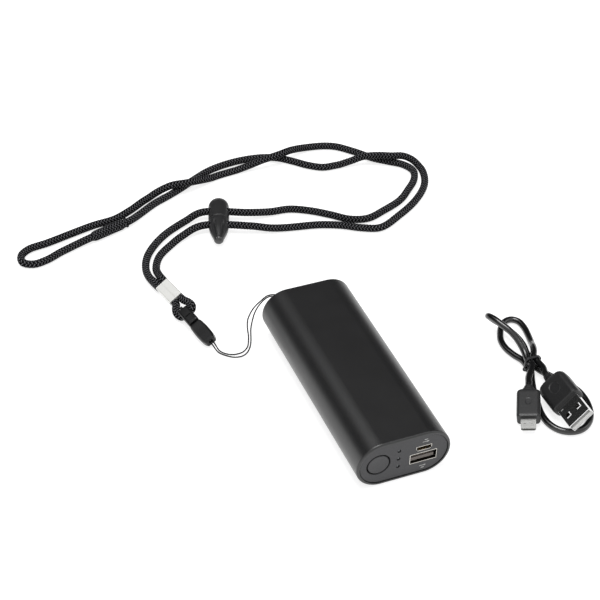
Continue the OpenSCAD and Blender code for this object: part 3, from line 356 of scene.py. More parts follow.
def turned(at, angles):
    """The frame of a piece that lies at a point, turned about x, y and z in degrees."""
    turns = [Matrix.Rotation(math.radians(a), 4, axis) for a, axis in zip(angles, "XYZ")]
    return Matrix.Translation(at) @ turns[2] @ turns[1] @ turns[0]


def facing_y(x, z):
    """The frame of outlines that follow each other along y."""
    return Matrix.Translation((x, 0, z)) @ ALONG_Y


def facing_x(place, height):
    """The frame of outlines that follow each other along a piece's own x."""
    return place @ Matrix.Translation((0, 0, height)) @ ALONG_X


def ring_of(bm, points):
    """The edges of a closed outline through some points."""
    verts = [bm.verts.new(p) for p in points]
    return [bm.edges.new(pair) for pair in zip(verts, verts[1:] + verts[:1])]


def edges_of(verts):
    """The edges at some vertices, each once and in the same order on every run."""
    return list(dict.fromkeys(e for v in verts for e in v.link_edges))


def outline(bm, place, radius, spread=(0, 0), segments=48):
    """A circle whose four quarters are moved apart: a rounded rectangle's edges."""
    half = Matrix.Rotation(math.pi / segments, 4, "Z")
    verts = bmesh.ops.create_circle(bm, segments=segments, radius=radius, matrix=half)["verts"]
    for v in verts:
        v.co.x += math.copysign(spread[0], v.co.x)
        v.co.y += math.copysign(spread[1], v.co.y)
    bmesh.ops.transform(bm, matrix=place, verts=verts)
    return edges_of(verts)


def loft(bm, rings, closed=False, ends=(True, True)):
    """Bridges each outline to the next, and fills the ends that are wanted."""
    for first, second in zip(rings, rings[1:] + (rings[:1] if closed else [])):
        bmesh.ops.bridge_loops(bm, edges=first + second)
    for ring, wanted in zip((rings[0], rings[-1]), OPEN if closed else ends):
        if wanted:
            bmesh.ops.contextual_create(bm, geom=ring)
    return rings


def sections(bm, place, rows, segments=48, spread=(0, 0), **how):
    """Lofts outlines given as (offset, corner radius), or with their own spread after these."""
    return loft(bm, [
        outline(bm, place @ Matrix.Translation((0, 0, t)), r, own or spread, segments)
        for t, r, *own in rows], **how)


def rounded(rows):
    """Rows for sections, from (offset, half width, half height, corner radius)."""
    return [(t, r, w - r, h - r) for t, w, h, r in rows]


def block(bm, low, high, place=Matrix(), rounding=0.0, segments=2):
    """A box between two corners, with rounded edges if wanted."""
    low, high = Vector(low), Vector(high)
    made = bmesh.ops.create_cube(bm, size=1.0)["verts"]
    size = Matrix.Diagonal((*(high - low), 1))
    bmesh.ops.transform(bm, matrix=place @ Matrix.Translation((low + high) / 2) @ size, verts=made)
    if rounding:
        bmesh.ops.bevel(
            bm, geom=edges_of(made), offset=rounding, offset_type="OFFSET", segments=segments,
            profile=0.5, affect="EDGES", clamp_overlap=True, material=-1)


def rod(bm, start, end, radius, segments=24):
    """A plain round bar between two points."""
    start, end = Vector(start), Vector(end)
    turn = (end - start).to_track_quat("Z", "Y").to_matrix().to_4x4()
    bmesh.ops.create_cone(
        bm, cap_ends=True, segments=segments, radius1=radius, radius2=radius,
        depth=(end - start).length, matrix=Matrix.Translation((start + end) / 2) @ turn)


def paint_since(bm, count, index):
    """Gives the faces made after the first ones another of the piece's materials."""
    bm.faces.ensure_lookup_table()
    for face in bm.faces[count:]:
        face.material_index = index


def add(name, data):
    """Puts an object with some data in the scene."""
    thing = bpy.data.objects.new(name, data)
    bpy.context.scene.collection.objects.link(thing)
    return thing


def to_object(name, bm):
    """Scales a mesh from millimetres, turns its faces outwards and makes it an object."""
    bmesh.ops.remove_doubles(bm, verts=bm.verts, dist=0.0005)
    bmesh.ops.recalc_face_normals(bm, faces=bm.faces)
    bmesh.ops.scale(bm, vec=(MM, MM, MM), verts=bm.verts)
    mesh = bpy.data.meshes.new(name)
    bm.to_mesh(mesh)
    bm.free()
    return add(name, mesh)


def reopened(thing):
    """Takes an object's mesh back to be worked on in millimetres, and drops the object."""
    bm = bmesh.new()
    bm.from_mesh(thing.data)
    bmesh.ops.scale(bm, vec=(1 / MM,) * 3, verts=bm.verts)
    bpy.data.objects.remove(thing)
    return bm


def shape_of(thing):
    """The mesh that an object shows."""
    bpy.context.view_layer.update()
    return bpy.data.meshes.new_from_object(
        thing.evaluated_get(bpy.context.evaluated_depsgraph_get()))


def apply(thing):
    """Makes the outcome of an object's modifiers its mesh."""
    shape = shape_of(thing)
    thing.modifiers.clear()
    thing.data = shape
    shape.name = thing.name


def cut(thing, cutter):
    """Cuts a mesh away from an object."""
    tool = to_object("cutter", cutter)
    how = thing.modifiers.new("cut", "BOOLEAN")
    how.operation, how.solver, how.object = "DIFFERENCE", "EXACT", tool
    apply(thing)
    bpy.data.objects.remove(tool)


def dress(thing, finishes, body, stands_for=None, crease=32):
    """Gives a finished piece its materials and its body, and hides the node that it stands for."""
    for key in finishes:
        thing.data.materials.append(finish(key))
    thing.data.shade_smooth()
    thing.data.set_sharp_from_angle(angle=math.radians(crease))
    how = thing.modifiers.new("level", "WEIGHTED_NORMAL")
    how.keep_sharp, how.weight = True, 100
    apply(thing)
    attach(thing, body)
    if stands_for:
        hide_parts(stands_for)


# Places and routes, in millimetres in the shared frame


CAP_PLATE, CAP_SKIRT_WALL, GUIDE_RADIUS = 2.6, 1.2, 0.81
POCKET_X, POCKET_Z, BAR_Y = -11.0, 17.5, 54.5
CRIMP = turned((-55.5, 101.4, 1.95), (27.8, 0, 282.9))
CRIMP_LENGTH, CRIMP_WIDTH, CRIMP_HEIGHT = 13.2, 7.6, 5.0
STRAND_GAP = 4.0
CLIP = CRIMP @ turned((22, -1.7, 0), (0, 0, -1.9))
CLIP_PLUG_LENGTH, CLIP_HEIGHT, CLIP_LOW = 10.8, 5.5, 0.7
CLIP_MIDDLE, CLIP_TOP = CLIP_LOW + CLIP_HEIGHT / 2, CLIP_LOW + CLIP_HEIGHT
CLIP_SOCKET_START, CLIP_SOCKET_LENGTH = 11.5, 14.0
BEAD = turned((-12.2, 143.1, 0), (0, 0, 70))
BEAD_MIDDLE, BEAD_HOLE, BEAD_BORE = 4.0, 5.75, 2.45
LARGE_PLUG = turned((88.2, -47.4, 7.3), (43.3, -3.7, 268))
SMALL_PLUG = turned((67.4, -46.2, 3.2), (9, 8, 242.4))
LARGE_MIDDLE, SMALL_MIDDLE = 2.25, 0.925
TIE = Vector((87.2, -13, 0))
TIE_STEP, TIE_LOW, TIE_RUN = 3.8, 2.3, 2.4


def laid(height, *points):
    """A route's points; those without a height of their own rest at the given one."""
    return [p if len(p) == 3 else (*p, height) for p in points]


def strand(x, side):
    """A point on one of the two strands in the crimp."""
    return CRIMP @ Vector((x, side * STRAND_GAP / 2, CRIMP_HEIGHT / 2))


def in_bead(side, t):
    """A point on the way through one of the bead's holes."""
    return BEAD @ Vector((side * BEAD_HOLE, -t, BEAD_MIDDLE))


def tie_run(side, row, way):
    """Three points of one of the four strands that the tie holds."""
    return [TIE + Vector((side * TIE_STEP / 2, k * way * TIE_RUN, TIE_LOW + row * TIE_STEP))
            for k in (-1, 0, 1)]


SPLICE = [(-78.5, 152, 2.7), (-56.5, 158.5, 2.7)]
# From the crimp through the bead's head, round by the right, the top and the left to the
# splice, back along the top and the right, and through the bead's tail to the crimp
LANYARD = [
    strand(0, -1), strand(-4, -1),
    *laid(1.8, (-60.4, 112, 2.4), (-59.5, 120), (-55.5, 129), (-47, 138.5), (-38, 145),
          (-28, 149.5, 2.4)),
    in_bead(1, -9), in_bead(1, 16),
    *laid(1.8, (16, 142, 2.4), (26, 141.5), (36, 136.5), (45, 129.5), (53, 122.5), (62, 120),
          (73, 123.5), (85, 129), (93, 136), (100, 143.5), (103, 151), (100.3, 158),
          (94, 163.5), (87.5, 169), (80, 178.5), (72, 186.5), (64, 189.8), (55, 190.5, 2.4),
          (46, 187.5, 4.8), (37, 184, 6.1), (28, 183.5, 5.2), (20, 184, 3), (11, 183.5),
          (-1, 181.8), (-10, 179, 3.8), (-18, 176.5, 5.9), (-26, 177, 5.9), (-33, 177.5, 3.6),
          (-41, 175), (-52, 168.5), (-62, 164), (-74, 162.5), (-87, 159.5), (-100, 156.3),
          (-110, 154.5), (-115, 150.5), (-115.5, 145), (-111, 142), (-104, 143), (-95, 147),
          (-86, 150, 2.2)),
    *SPLICE,
    *laid(1.8, (-47, 164.5), (-38, 170), (-28, 174.5), (-20, 178.5), (-12, 183), (-2, 188),
          (9, 190.8), (20, 191.5), (30, 190.2), (38, 187), (45, 181), (51, 175), (58, 170.5),
          (66, 169.8), (74, 169.5, 3), (81, 168.3, 5), (88, 165.5, 6), (95, 162.5, 6),
          (101.5, 161.3, 5.2), (105.8, 158.5, 3.6), (108, 152.5), (106.5, 144), (102, 135.5),
          (92, 125.5), (79, 117), (65, 110.5), (56, 113.5), (47, 119), (36, 123.5), (24, 126),
          (12, 128.5, 2.4)),
    in_bead(-1, 16), in_bead(-1, -9),
    *laid(1.8, (-34, 138, 2.4), (-43, 132.5), (-50.5, 126), (-54.7, 118), (-55.6, 111.5, 3.2)),
    strand(-4, 1), strand(0, 1)]
EYE = [
    strand(CRIMP_LENGTH - 1.5, -1), strand(CRIMP_LENGTH + 1.5, -1),
    *(CRIMP @ Vector(p) for p in laid(
        3.15, (17, -3.6, 2.9), (19, -4.6), (22.2, -4.8), (23.8, -4.1), (24.5, -2.7),
        (24.5, -0.7), (24.4, 1), (23.6, 2.4), (22, 3.1), (19.5, 3), (17, 2.4, 2.8))),
    strand(CRIMP_LENGTH + 1.5, 1), strand(CRIMP_LENGTH - 1.5, 1)]
# The doubled string's middle line, and how far its two strands part there
TETHER_MIDDLE = laid(
    0.5, (-46.5, 49.5, 0.8), (-44, 46.5), (-41, 44.5), (-38, 44), (-35, 45), (-32, 48),
    (-30, 52), (-28.5, 56), (-27, 60.5, 0.7), (-25, 64.5, 2), (-22, 67.2, 5), (-18.5, 67.5, 9),
    (-15, 66, 13))
TETHER_SHARES = [1, 1, 1.6, 2, 1.6, 1, 1, 1, 1.4, 2, 2, 1.5, 1]
TETHER_HALF_GAP = 0.6
# From the small plug through the tie, round the narrow loop that stands up, the long loop and
# the oval loop, each time through the tie, to the large plug
CABLE = [
    SMALL_PLUG @ Vector((-19.5, 0, SMALL_MIDDLE)), SMALL_PLUG @ Vector((-21.5, 0, SMALL_MIDDLE)),
    (79.3, -23.4, 6.8), (82.2, -20, 6.6), (84.3, -17.6, 6.3),
    *tie_run(-1, 1, 1),
    (85.8, -7.4, 6.9), (85.6, -3.9, 8.5), (84.8, 0, 10.3), (83, 4, 12.2), (80.9, 8.2, 13.2),
    (79.3, 12.6, 13.5), (78.6, 16.6, 12.3), (80.3, 19.2, 9.5), (83.4, 18.8, 6.6),
    (86, 15.8, 5.4), (87.2, 11.6, 5.3), (88.4, 7.6, 5.1), (89.3, 4.2, 4.5), (89.8, 0.6, 3.5),
    (89.4, -3.6, 2.5),
    *tie_run(1, 0, -1),
    *laid(1.6, (91.6, -19.4, 1.7), (94.6, -24.4), (98, -29.6), (99.8, -34.6), (100.2, -40),
          (99.2, -46), (97, -51.2), (93.2, -55.6), (88.3, -58), (83.2, -57.6), (78.9, -54.8),
          (76.4, -49.8), (76.2, -43), (78, -35.5), (80.6, -27), (83.2, -20.4, 1.7)),
    *tie_run(-1, 0, 1),
    *laid(1.6, (85.2, -6.8, 1.9), (83.5, -2.1), (82.2, 3.4), (82.6, 9.2), (84.9, 14.4),
          (87.7, 18.6), (91, 21.2), (94.6, 21.5), (97.2, 19), (97.7, 14), (96.6, 7.6, 1.8),
          (94.6, 1, 3), (93, -3, 4.7), (91.2, -6.8, 5.7)),
    *tie_run(1, 1, -1),
    (89, -19.6, 6.6),
    LARGE_PLUG @ Vector((-23, 0, LARGE_MIDDLE)), LARGE_PLUG @ Vector((-21, 0, LARGE_MIDDLE))]


def tether_points():
    """Out from the clip, into the pocket, round its bar and back to the clip."""
    middle = [Vector(p) for p in TETHER_MIDDLE]
    after = middle[1:] + [2 * middle[-1] - middle[-2]]
    out, loop = CLIP_SOCKET_START + CLIP_SOCKET_LENGTH, 1.5
    halves = []
    for side in (-1, 1):
        half = [CLIP @ Vector((out + x, -side * TETHER_HALF_GAP, CLIP_MIDDLE))
                for x in (-1.2, 0, 2)]
        for p, q, share in zip(middle, after, TETHER_SHARES):
            d = Vector((q.x - p.x, q.y - p.y, 0)).normalized()
            half.append(p - side * TETHER_HALF_GAP * share * Vector((-d.y, d.x, 0)))
        half += [Vector((POCKET_X - side * loop, y, POCKET_Z)) for y in (57.6, BAR_Y)]
        halves.append(half)
    around = [Vector((POCKET_X + loop * math.cos(a), BAR_Y - loop * math.sin(a), POCKET_Z))
              for a in map(math.radians, range(30, 151, 30))]
    return halves[0] + around + halves[1][::-1]


def mixed(t, start, a, end, b):
    """What lies at a time between one value at its start and another at its end."""
    return (end - t) / (end - start) * a + (t - start) / (end - start) * b


def smooth_route(points, step, low=None):
    """A smooth curve through the points, cut into even steps, no lower than a height."""
    p = np.array([tuple(q) for q in points], float)
    p = np.vstack([2 * p[0] - p[1], p, 2 * p[-1] - p[-2]])
    fine = []
    for a, b, c, d in zip(p, p[1:], p[2:], p[3:]):
        t1, t2, t3 = np.cumsum([np.linalg.norm(leg) ** 0.5 for leg in (b - a, c - b, d - c)])
        t = np.linspace(t1, t2, 24, endpoint=False)[:, None]
        ab, bc, cd = mixed(t, 0, a, t1, b), mixed(t, t1, b, t2, c), mixed(t, t2, c, t3, d)
        fine.append(mixed(t, t1, mixed(t, 0, ab, t2, bc), t2, mixed(t, t1, bc, t3, cd)))
    q = np.vstack([*fine, p[-2:-1]])
    along = np.concatenate([[0], np.cumsum(np.linalg.norm(np.diff(q, axis=0), axis=1))])
    even = np.linspace(0, along[-1], max(8, int(round(along[-1] / step)) + 1))
    q = np.stack([np.interp(even, along, q[:, k]) for k in range(3)], axis=1)
    if low is not None:
        q[:, 2] = np.maximum(q[:, 2], low)
    return q


def crossing(u, v):
    """How high the braid's strands stand at a place round and along it, 0 to 0.5."""
    runs = [u + v, u - v]
    crowns = [0.5 - np.abs(run % 1 - 0.5) for run in runs]
    return np.where((np.floor(runs[0]) + np.floor(runs[1])) % 2, crowns[1], crowns[0])


def tube(name, route, radius, sides, strands, pitch, depth=0.0, swell=None):
    """A round cord along a route, whose skin stands out where a strand crosses over."""
    curve = bpy.data.curves.new(name, "CURVE")
    curve.dimensions, curve.use_fill_caps = "3D", True
    curve.bevel_depth, curve.bevel_resolution = radius, (sides - 4) // 2
    spline = curve.splines.new("POLY")
    spline.points.add(len(route) - 1)
    spline.points.foreach_set("co", np.column_stack([route, np.ones(len(route))]).ravel())
    shown = add(name, curve)
    mesh = shape_of(shown)
    bpy.data.objects.remove(shown)

    # The skin moves in and out with the braid, except at both ends
    count = len(route) * sides
    co = np.zeros(len(mesh.vertices) * 3)
    mesh.vertices.foreach_get("co", co)
    co = co.reshape(-1, 3)
    ring, side = np.divmod(np.arange(count), sides)
    step = np.linalg.norm(np.diff(route, axis=0), axis=1).mean()
    grow = depth / radius * (4 * crossing(side * strands / sides, ring * step / pitch) - 1)
    if swell is not None:
        grow = grow + swell(ring / (len(route) - 1))
    inner = (ring > 0) & (ring < len(route) - 1)
    grow = np.where(inner, grow, np.minimum(grow, 0))
    co[:count] += (co[:count] - route[ring]) * grow[:, None]
    mesh.vertices.foreach_set("co", (co * MM).ravel())

    # The map counts strands round the cord and crossings along it, and is open at the seam
    corners = np.zeros(len(mesh.loops), int)
    mesh.loops.foreach_get("vertex_index", corners)
    corners = np.minimum(corners, count - 1)
    turn = (corners % sides).astype(float)
    starts = np.zeros(len(mesh.polygons), int)
    mesh.polygons.foreach_get("loop_start", starts)
    widest = np.repeat(np.maximum.reduceat(turn, starts), np.diff([*starts, len(turn)]))
    turn += np.where((widest == sides - 1) & (turn == 0), sides, 0)
    uv = np.column_stack([turn * strands / sides, (corners // sides) * step / pitch])
    for old in list(mesh.uv_layers):
        mesh.uv_layers.remove(old)
    mesh.uv_layers.new(name="Braid").data.foreach_set("uv", uv.ravel())
    mesh.update()
    return add(name, mesh)


# Operators


class WARMER_OT_stage(bpy.types.Operator):
    """Adds the floor, the soft light and the camera"""
    bl_idname = "warmer.stage"
    bl_label = "Stage"

    def execute(self, context):
        scene, stage = context.scene, context.scene.hand_warmer_stage
        # The camera stands where the photograph was taken from, in metres
        camera = add("camera", bpy.data.cameras.new("camera"))
        camera.matrix_world = Matrix((
            (0.92445, 0.21959, -0.31172, -0.25075), (-0.37991, 0.59997, -0.70406, -0.50381),
            (0.03242, 0.7693, 0.63807, 0.52221), (0, 0, 0, 1)))
        camera.data.lens, camera.data.sensor_width = 99.786, 36
        camera.data.clip_start, camera.data.clip_end = 0.02, 50
        scene.camera = camera
        scene.view_settings.view_transform = "Standard"

        # The floor is a 6 m sheet, a hair below everything that lies on it
        bm = bmesh.new()
        bmesh.ops.create_grid(bm, x_segments=1, y_segments=1, size=3000,
                              matrix=Matrix.Translation((0, 0, -0.05)))
        floor = to_object("floor", bm)
        # White paper: matt, and lit evenly by itself, so that only a faint shadow shows
        material, tree = blank("white_paper")
        seen = node(tree, "ShaderNodeLightPath").outputs
        straight = node(tree, "ShaderNodeMath", {
            0: seen["Is Camera Ray"], 1: seen["Is Glossy Ray"]}, operation="MAXIMUM")
        through = node(tree, "ShaderNodeMath", {
            0: straight, 1: seen["Is Transmission Ray"]}, operation="MAXIMUM")
        paper = node(tree, "ShaderNodeBsdfDiffuse", {"Color": rgba("#bcbcbc")})
        glow = node(tree, "ShaderNodeEmission", {"Color": WHITE, "Strength": 0.74})
        both = node(tree, "ShaderNodeAddShader", {0: paper, 1: glow})
        node(tree, "ShaderNodeOutputMaterial", {
            "Surface": node(tree, "ShaderNodeMixShader", {0: through, 1: paper, 2: both})})
        floor.data.materials.append(material)

        world = bpy.data.worlds.new("soft_room")
        world.use_nodes = True
        tree = world.node_tree
        tree.nodes.clear()
        seen = node(tree, "ShaderNodeLightPath").outputs
        straight = node(tree, "ShaderNodeMath", {
            0: seen["Is Camera Ray"], 1: seen["Is Transmission Ray"]}, operation="MAXIMUM")
        way = node(tree, "ShaderNodeTexCoord").outputs["Generated"]
        ways = node(tree, "ShaderNodeSeparateXYZ", {"Vector": way}).outputs
        # The room is pale in front and overhead, and a dark curtain hangs behind the table
        curtain = 1.0
        for axis, start, end in (("Z", 0.03, 0.14), ("Z", 0.96, 0.86), ("Y", -0.2, 0.25)):
            edge = node(tree, "ShaderNodeMapRange", {
                "Value": ways[axis], "From Min": start, "From Max": end},
                interpolation_type="SMOOTHSTEP")
            curtain = node(tree, "ShaderNodeMath", {0: curtain, 1: edge}, operation="MULTIPLY")
        wall = node(tree, "ShaderNodeMapRange", {
            "Value": curtain, "To Min": 0.85, "To Max": 0.03})
        # A round soft lamp hangs above the clip
        facing = node(tree, "ShaderNodeVectorMath", {
            0: way, 1: (-0.34, 0.41, 0.85)}, operation="DOT_PRODUCT")
        lamp = node(tree, "ShaderNodeMapRange", {
            "Value": facing, "From Min": 0.95, "From Max": 0.985, "To Max": 1.1},
            interpolation_type="SMOOTHSTEP")
        lit = node(tree, "ShaderNodeMath", {0: wall, 1: lamp}, operation="ADD")
        mirrored, plain, white = (
            node(tree, "ShaderNodeBackground", {"Color": WHITE, "Strength": strength})
            for strength in (lit, stage.sky, 1.0))
        shine = node(tree, "ShaderNodeMixShader", {
            0: seen["Is Glossy Ray"], 1: plain, 2: mirrored})
        backdrop = node(tree, "ShaderNodeMixShader", {0: straight, 1: shine, 2: white})
        node(tree, "ShaderNodeOutputWorld", {"Surface": backdrop})
        scene.world = world

        for name, at, aim, size, power in (
                ("key_light", (-0.15, 0.18, 1.5), (0, 0.06, 0), 0.7, stage.key_power),
                ("fill_light", (1.3, -0.2, 0.9), (0.03, 0.03, 0), 0.8, stage.fill_power)):
            lamp = bpy.data.lights.new(name, "AREA")
            lamp.energy, lamp.size = power, size
            turn = (Vector(aim) - Vector(at)).to_track_quat("-Z", "Y")
            add(name, lamp).matrix_world = Matrix.Translation(at) @ turn.to_matrix().to_4x4()
        return {"FINISHED"}


class WARMER_OT_sleeve(bpy.types.Operator):
    """Makes the black anodised aluminium sleeve"""
    bl_idname = "warmer.sleeve"
    bl_label = "Sleeve"

    def execute(self, context):
        settings = context.scene.hand_warmer
        outer = (SLEEVE_HIGH.z - SLEEVE_LOW.z) / 2
        side = settings.sleeve_width / MM / 2 - outer
        inner = outer - settings.sleeve_wall / MM
        rim, end, ease = settings.rim_round / MM, SLEEVE_HIGH.y, 0.12
        rows = [(-end + ease, inner), (-end, inner + ease)]
        rows += [(-end + rim * (1 - math.cos(a)), outer - rim * (1 - math.sin(a)))
                 for a in map(math.radians, range(0, 91, 15))]
        rows += [(-y, r) for y, r in reversed(rows)]
        bm = bmesh.new()
        sections(bm, facing_y(0, outer), rows, 128, (side, 0), closed=True)
        dress(to_object("aluminium_sleeve", bm), ["anodised"], "warmer", "sleeve",
              crease=40)
        return {"FINISHED"}


def cap_shell(bm, way, face, skirt_end, radius, side, middle, groove):
    """A cap's raised face, groove and skirt; gives the edges where its plate is filled in."""
    front, deep = radius - groove, face + way * 0.24
    rows = [(face, front - 0.2), (face + way * 0.03, front - 0.1),
            (face + way * 0.1, front - 0.03), (face + way * 0.2, front), (deep, front),
            (deep, radius - 0.1), (deep + way * 0.1, radius), (skirt_end - way * 0.15, radius),
            (skirt_end, radius - 0.15), (skirt_end, radius - CAP_SKIRT_WALL),
            (face + way * CAP_PLATE, radius - CAP_SKIRT_WALL)]
    rings = sections(bm, facing_y(0, middle), rows, 96, (side, 0), ends=OPEN)
    return rings[0], rings[-1]


def fill_plate(bm, *outlines):
    """Fills a cap's front and back between its edge and its holes."""
    for edges in outlines:
        bmesh.ops.triangle_fill(bm, use_beauty=True, use_dissolve=False, edges=edges,
                                normal=(0, 1, 0))


def micro_outline(bm, centre, y, grow):
    """The charging socket's outline: a low wide box with its lower corners cut off."""
    top, foot, high = 3.8 + grow, 2.95 + grow, 1.35 + grow
    shoulder = high - 1.485
    return ring_of(bm, [(centre.x + x, y, centre.z + z) for x, z in (
        (-foot, -high), (foot, -high), (top, shoulder), (top, high), (-top, high),
        (-top, shoulder))])


class WARMER_OT_caps(bpy.types.Operator):
    """Makes the two moulded end caps"""
    bl_idname = "warmer.caps"
    bl_label = "End caps"

    def execute(self, context):
        groove = context.scene.hand_warmer.groove / MM
        low, high, centre = span("front_cap")
        radius, middle = (high.z - low.z) / 2, centre.z
        side = high.x - radius
        face, plate, skirt = low.y, low.y + CAP_PLATE, high.y
        bm = bmesh.new()
        fronts, backs = cap_shell(bm, 1, face, skirt, radius, side, middle, groove)
        button = span("power_button")[2]
        guide_low, guide_high, guide = span("light_guide")
        usb_low, usb_high, usb = span("usb_a_socket")
        corner, usb_size = 0.35, (usb_high - usb_low) / 2
        usb_spread = (usb_size.x + 0.1 - corner, usb_size.z + 0.1 - corner)
        holes = [(button.x, button.z, 5.66, (0, 0), 0.2, 72)]
        holes += [(guide.x, z, 0.9, (0, 0), 0.08, 24) for z in (
            guide_low.z + GUIDE_RADIUS, guide.z, guide_high.z - GUIDE_RADIUS)]
        holes += [(usb.x, usb.z, corner, usb_spread, 0.08, 32)]
        for x, z, r, spread, ease, segments in holes:
            walls = sections(bm, facing_y(x, z), [
                (face, r + ease), (face + 0.4 * ease, r + 0.4 * ease), (face + ease, r),
                (plate, r)], segments, spread, ends=OPEN)
            fronts += walls[0]
            backs += walls[-1]
        micro = span("micro_usb_socket")[2]
        walls = loft(bm, [micro_outline(bm, micro, y, grow) for y, grow in (
            (face, 0.2), (face + 0.1, 0.1), (plate, 0.1))], ends=OPEN)
        fill_plate(bm, fronts + walls[0], backs + walls[-1])
        cap = to_object("front_cap_moulding", bm)
        slot = bmesh.new()
        block(slot, (0, plate + 0.01, usb_high.z - 0.1), (30, skirt + 1, usb_high.z + 1.3))
        cut(cap, slot)
        dress(cap, ["cap"], "warmer", "front_cap", crease=28)

        low, high, _ = span("rear_cap")
        face, plate = high.y, high.y - CAP_PLATE
        bm = bmesh.new()
        fronts, backs = cap_shell(bm, -1, face, low.y, radius, side, middle, groove)
        at = facing_y(POCKET_X, POCKET_Z)
        pocket = sections(bm, at, [
            (face, 0.75), (face - 0.1, 0.56), (face - 0.3, 0.5), (face - 4, 0.5)], 32, (3, 1.5),
            ends=(False, True))
        boss = sections(bm, at, [(plate, 0.6), (face - 5, 0.6)], 32, (3.9, 2.4),
                        ends=(False, True))
        fill_plate(bm, fronts + pocket[0], backs + boss[0])
        rod(bm, (POCKET_X, face - 1.1, POCKET_Z - 2.2), (POCKET_X, face - 1.1, POCKET_Z + 2.2),
            0.9)
        dress(to_object("rear_cap_moulding", bm), ["cap"], "warmer", "rear_cap",
              crease=28)
        return {"FINISHED"}


class WARMER_OT_button(bpy.types.Operator):
    """Makes the power button and the light guide behind the windows"""
    bl_idname = "warmer.button"
    bl_label = "Button and lights"

    def execute(self, context):
        low, high, centre = span("power_button")
        face, tip = low.y, high.y
        # A dished top with a soft edge, a flange that holds it behind the cap, and a stem
        rows = [(0.25 * (1 - (r / 5.2) ** 2), r) for r in (0.4, 1.3, 2.3, 3.3, 4.2, 4.8)]
        rows += [(0.08, 4.86), (0.18, 4.96), (0.32, 5.02), (0.5, 5.04), (2.65, 5.04),
                 (2.65, 6.2), (2.72, 6.26), (3.4, 6.26), (3.45, 6.2), (3.45, 1.6)]
        rows = [(face + y, r) for y, r in rows] + [(tip - 0.1, 1.6), (tip, 1.5)]
        bm = bmesh.new()
        sections(bm, facing_y(centre.x, centre.z), rows, 72)
        dress(to_object("button_moulding", bm), ["button"], "power_button", "power_button",
              crease=30)

        low, high, centre = span("light_guide")
        r = GUIDE_RADIUS
        rows = [(low.y + y, q) for y, q in (
            (-0.25, 0.1), (-0.22, 0.3), (-0.1, 0.55), (0.08, 0.72), (0.3, r))] + [(high.y, r)]
        bm = bmesh.new()
        for z in (low.z + r, centre.z, high.z - r):
            sections(bm, facing_y(centre.x, z), rows, 24)
        block(bm, (centre.x - 0.9, face + 2.65, low.z), (centre.x + 0.9, face + 3.55, high.z),
              rounding=0.1)
        dress(to_object("light_pipe", bm), ["guide"], "warmer", "light_guide")
        return {"FINISHED"}


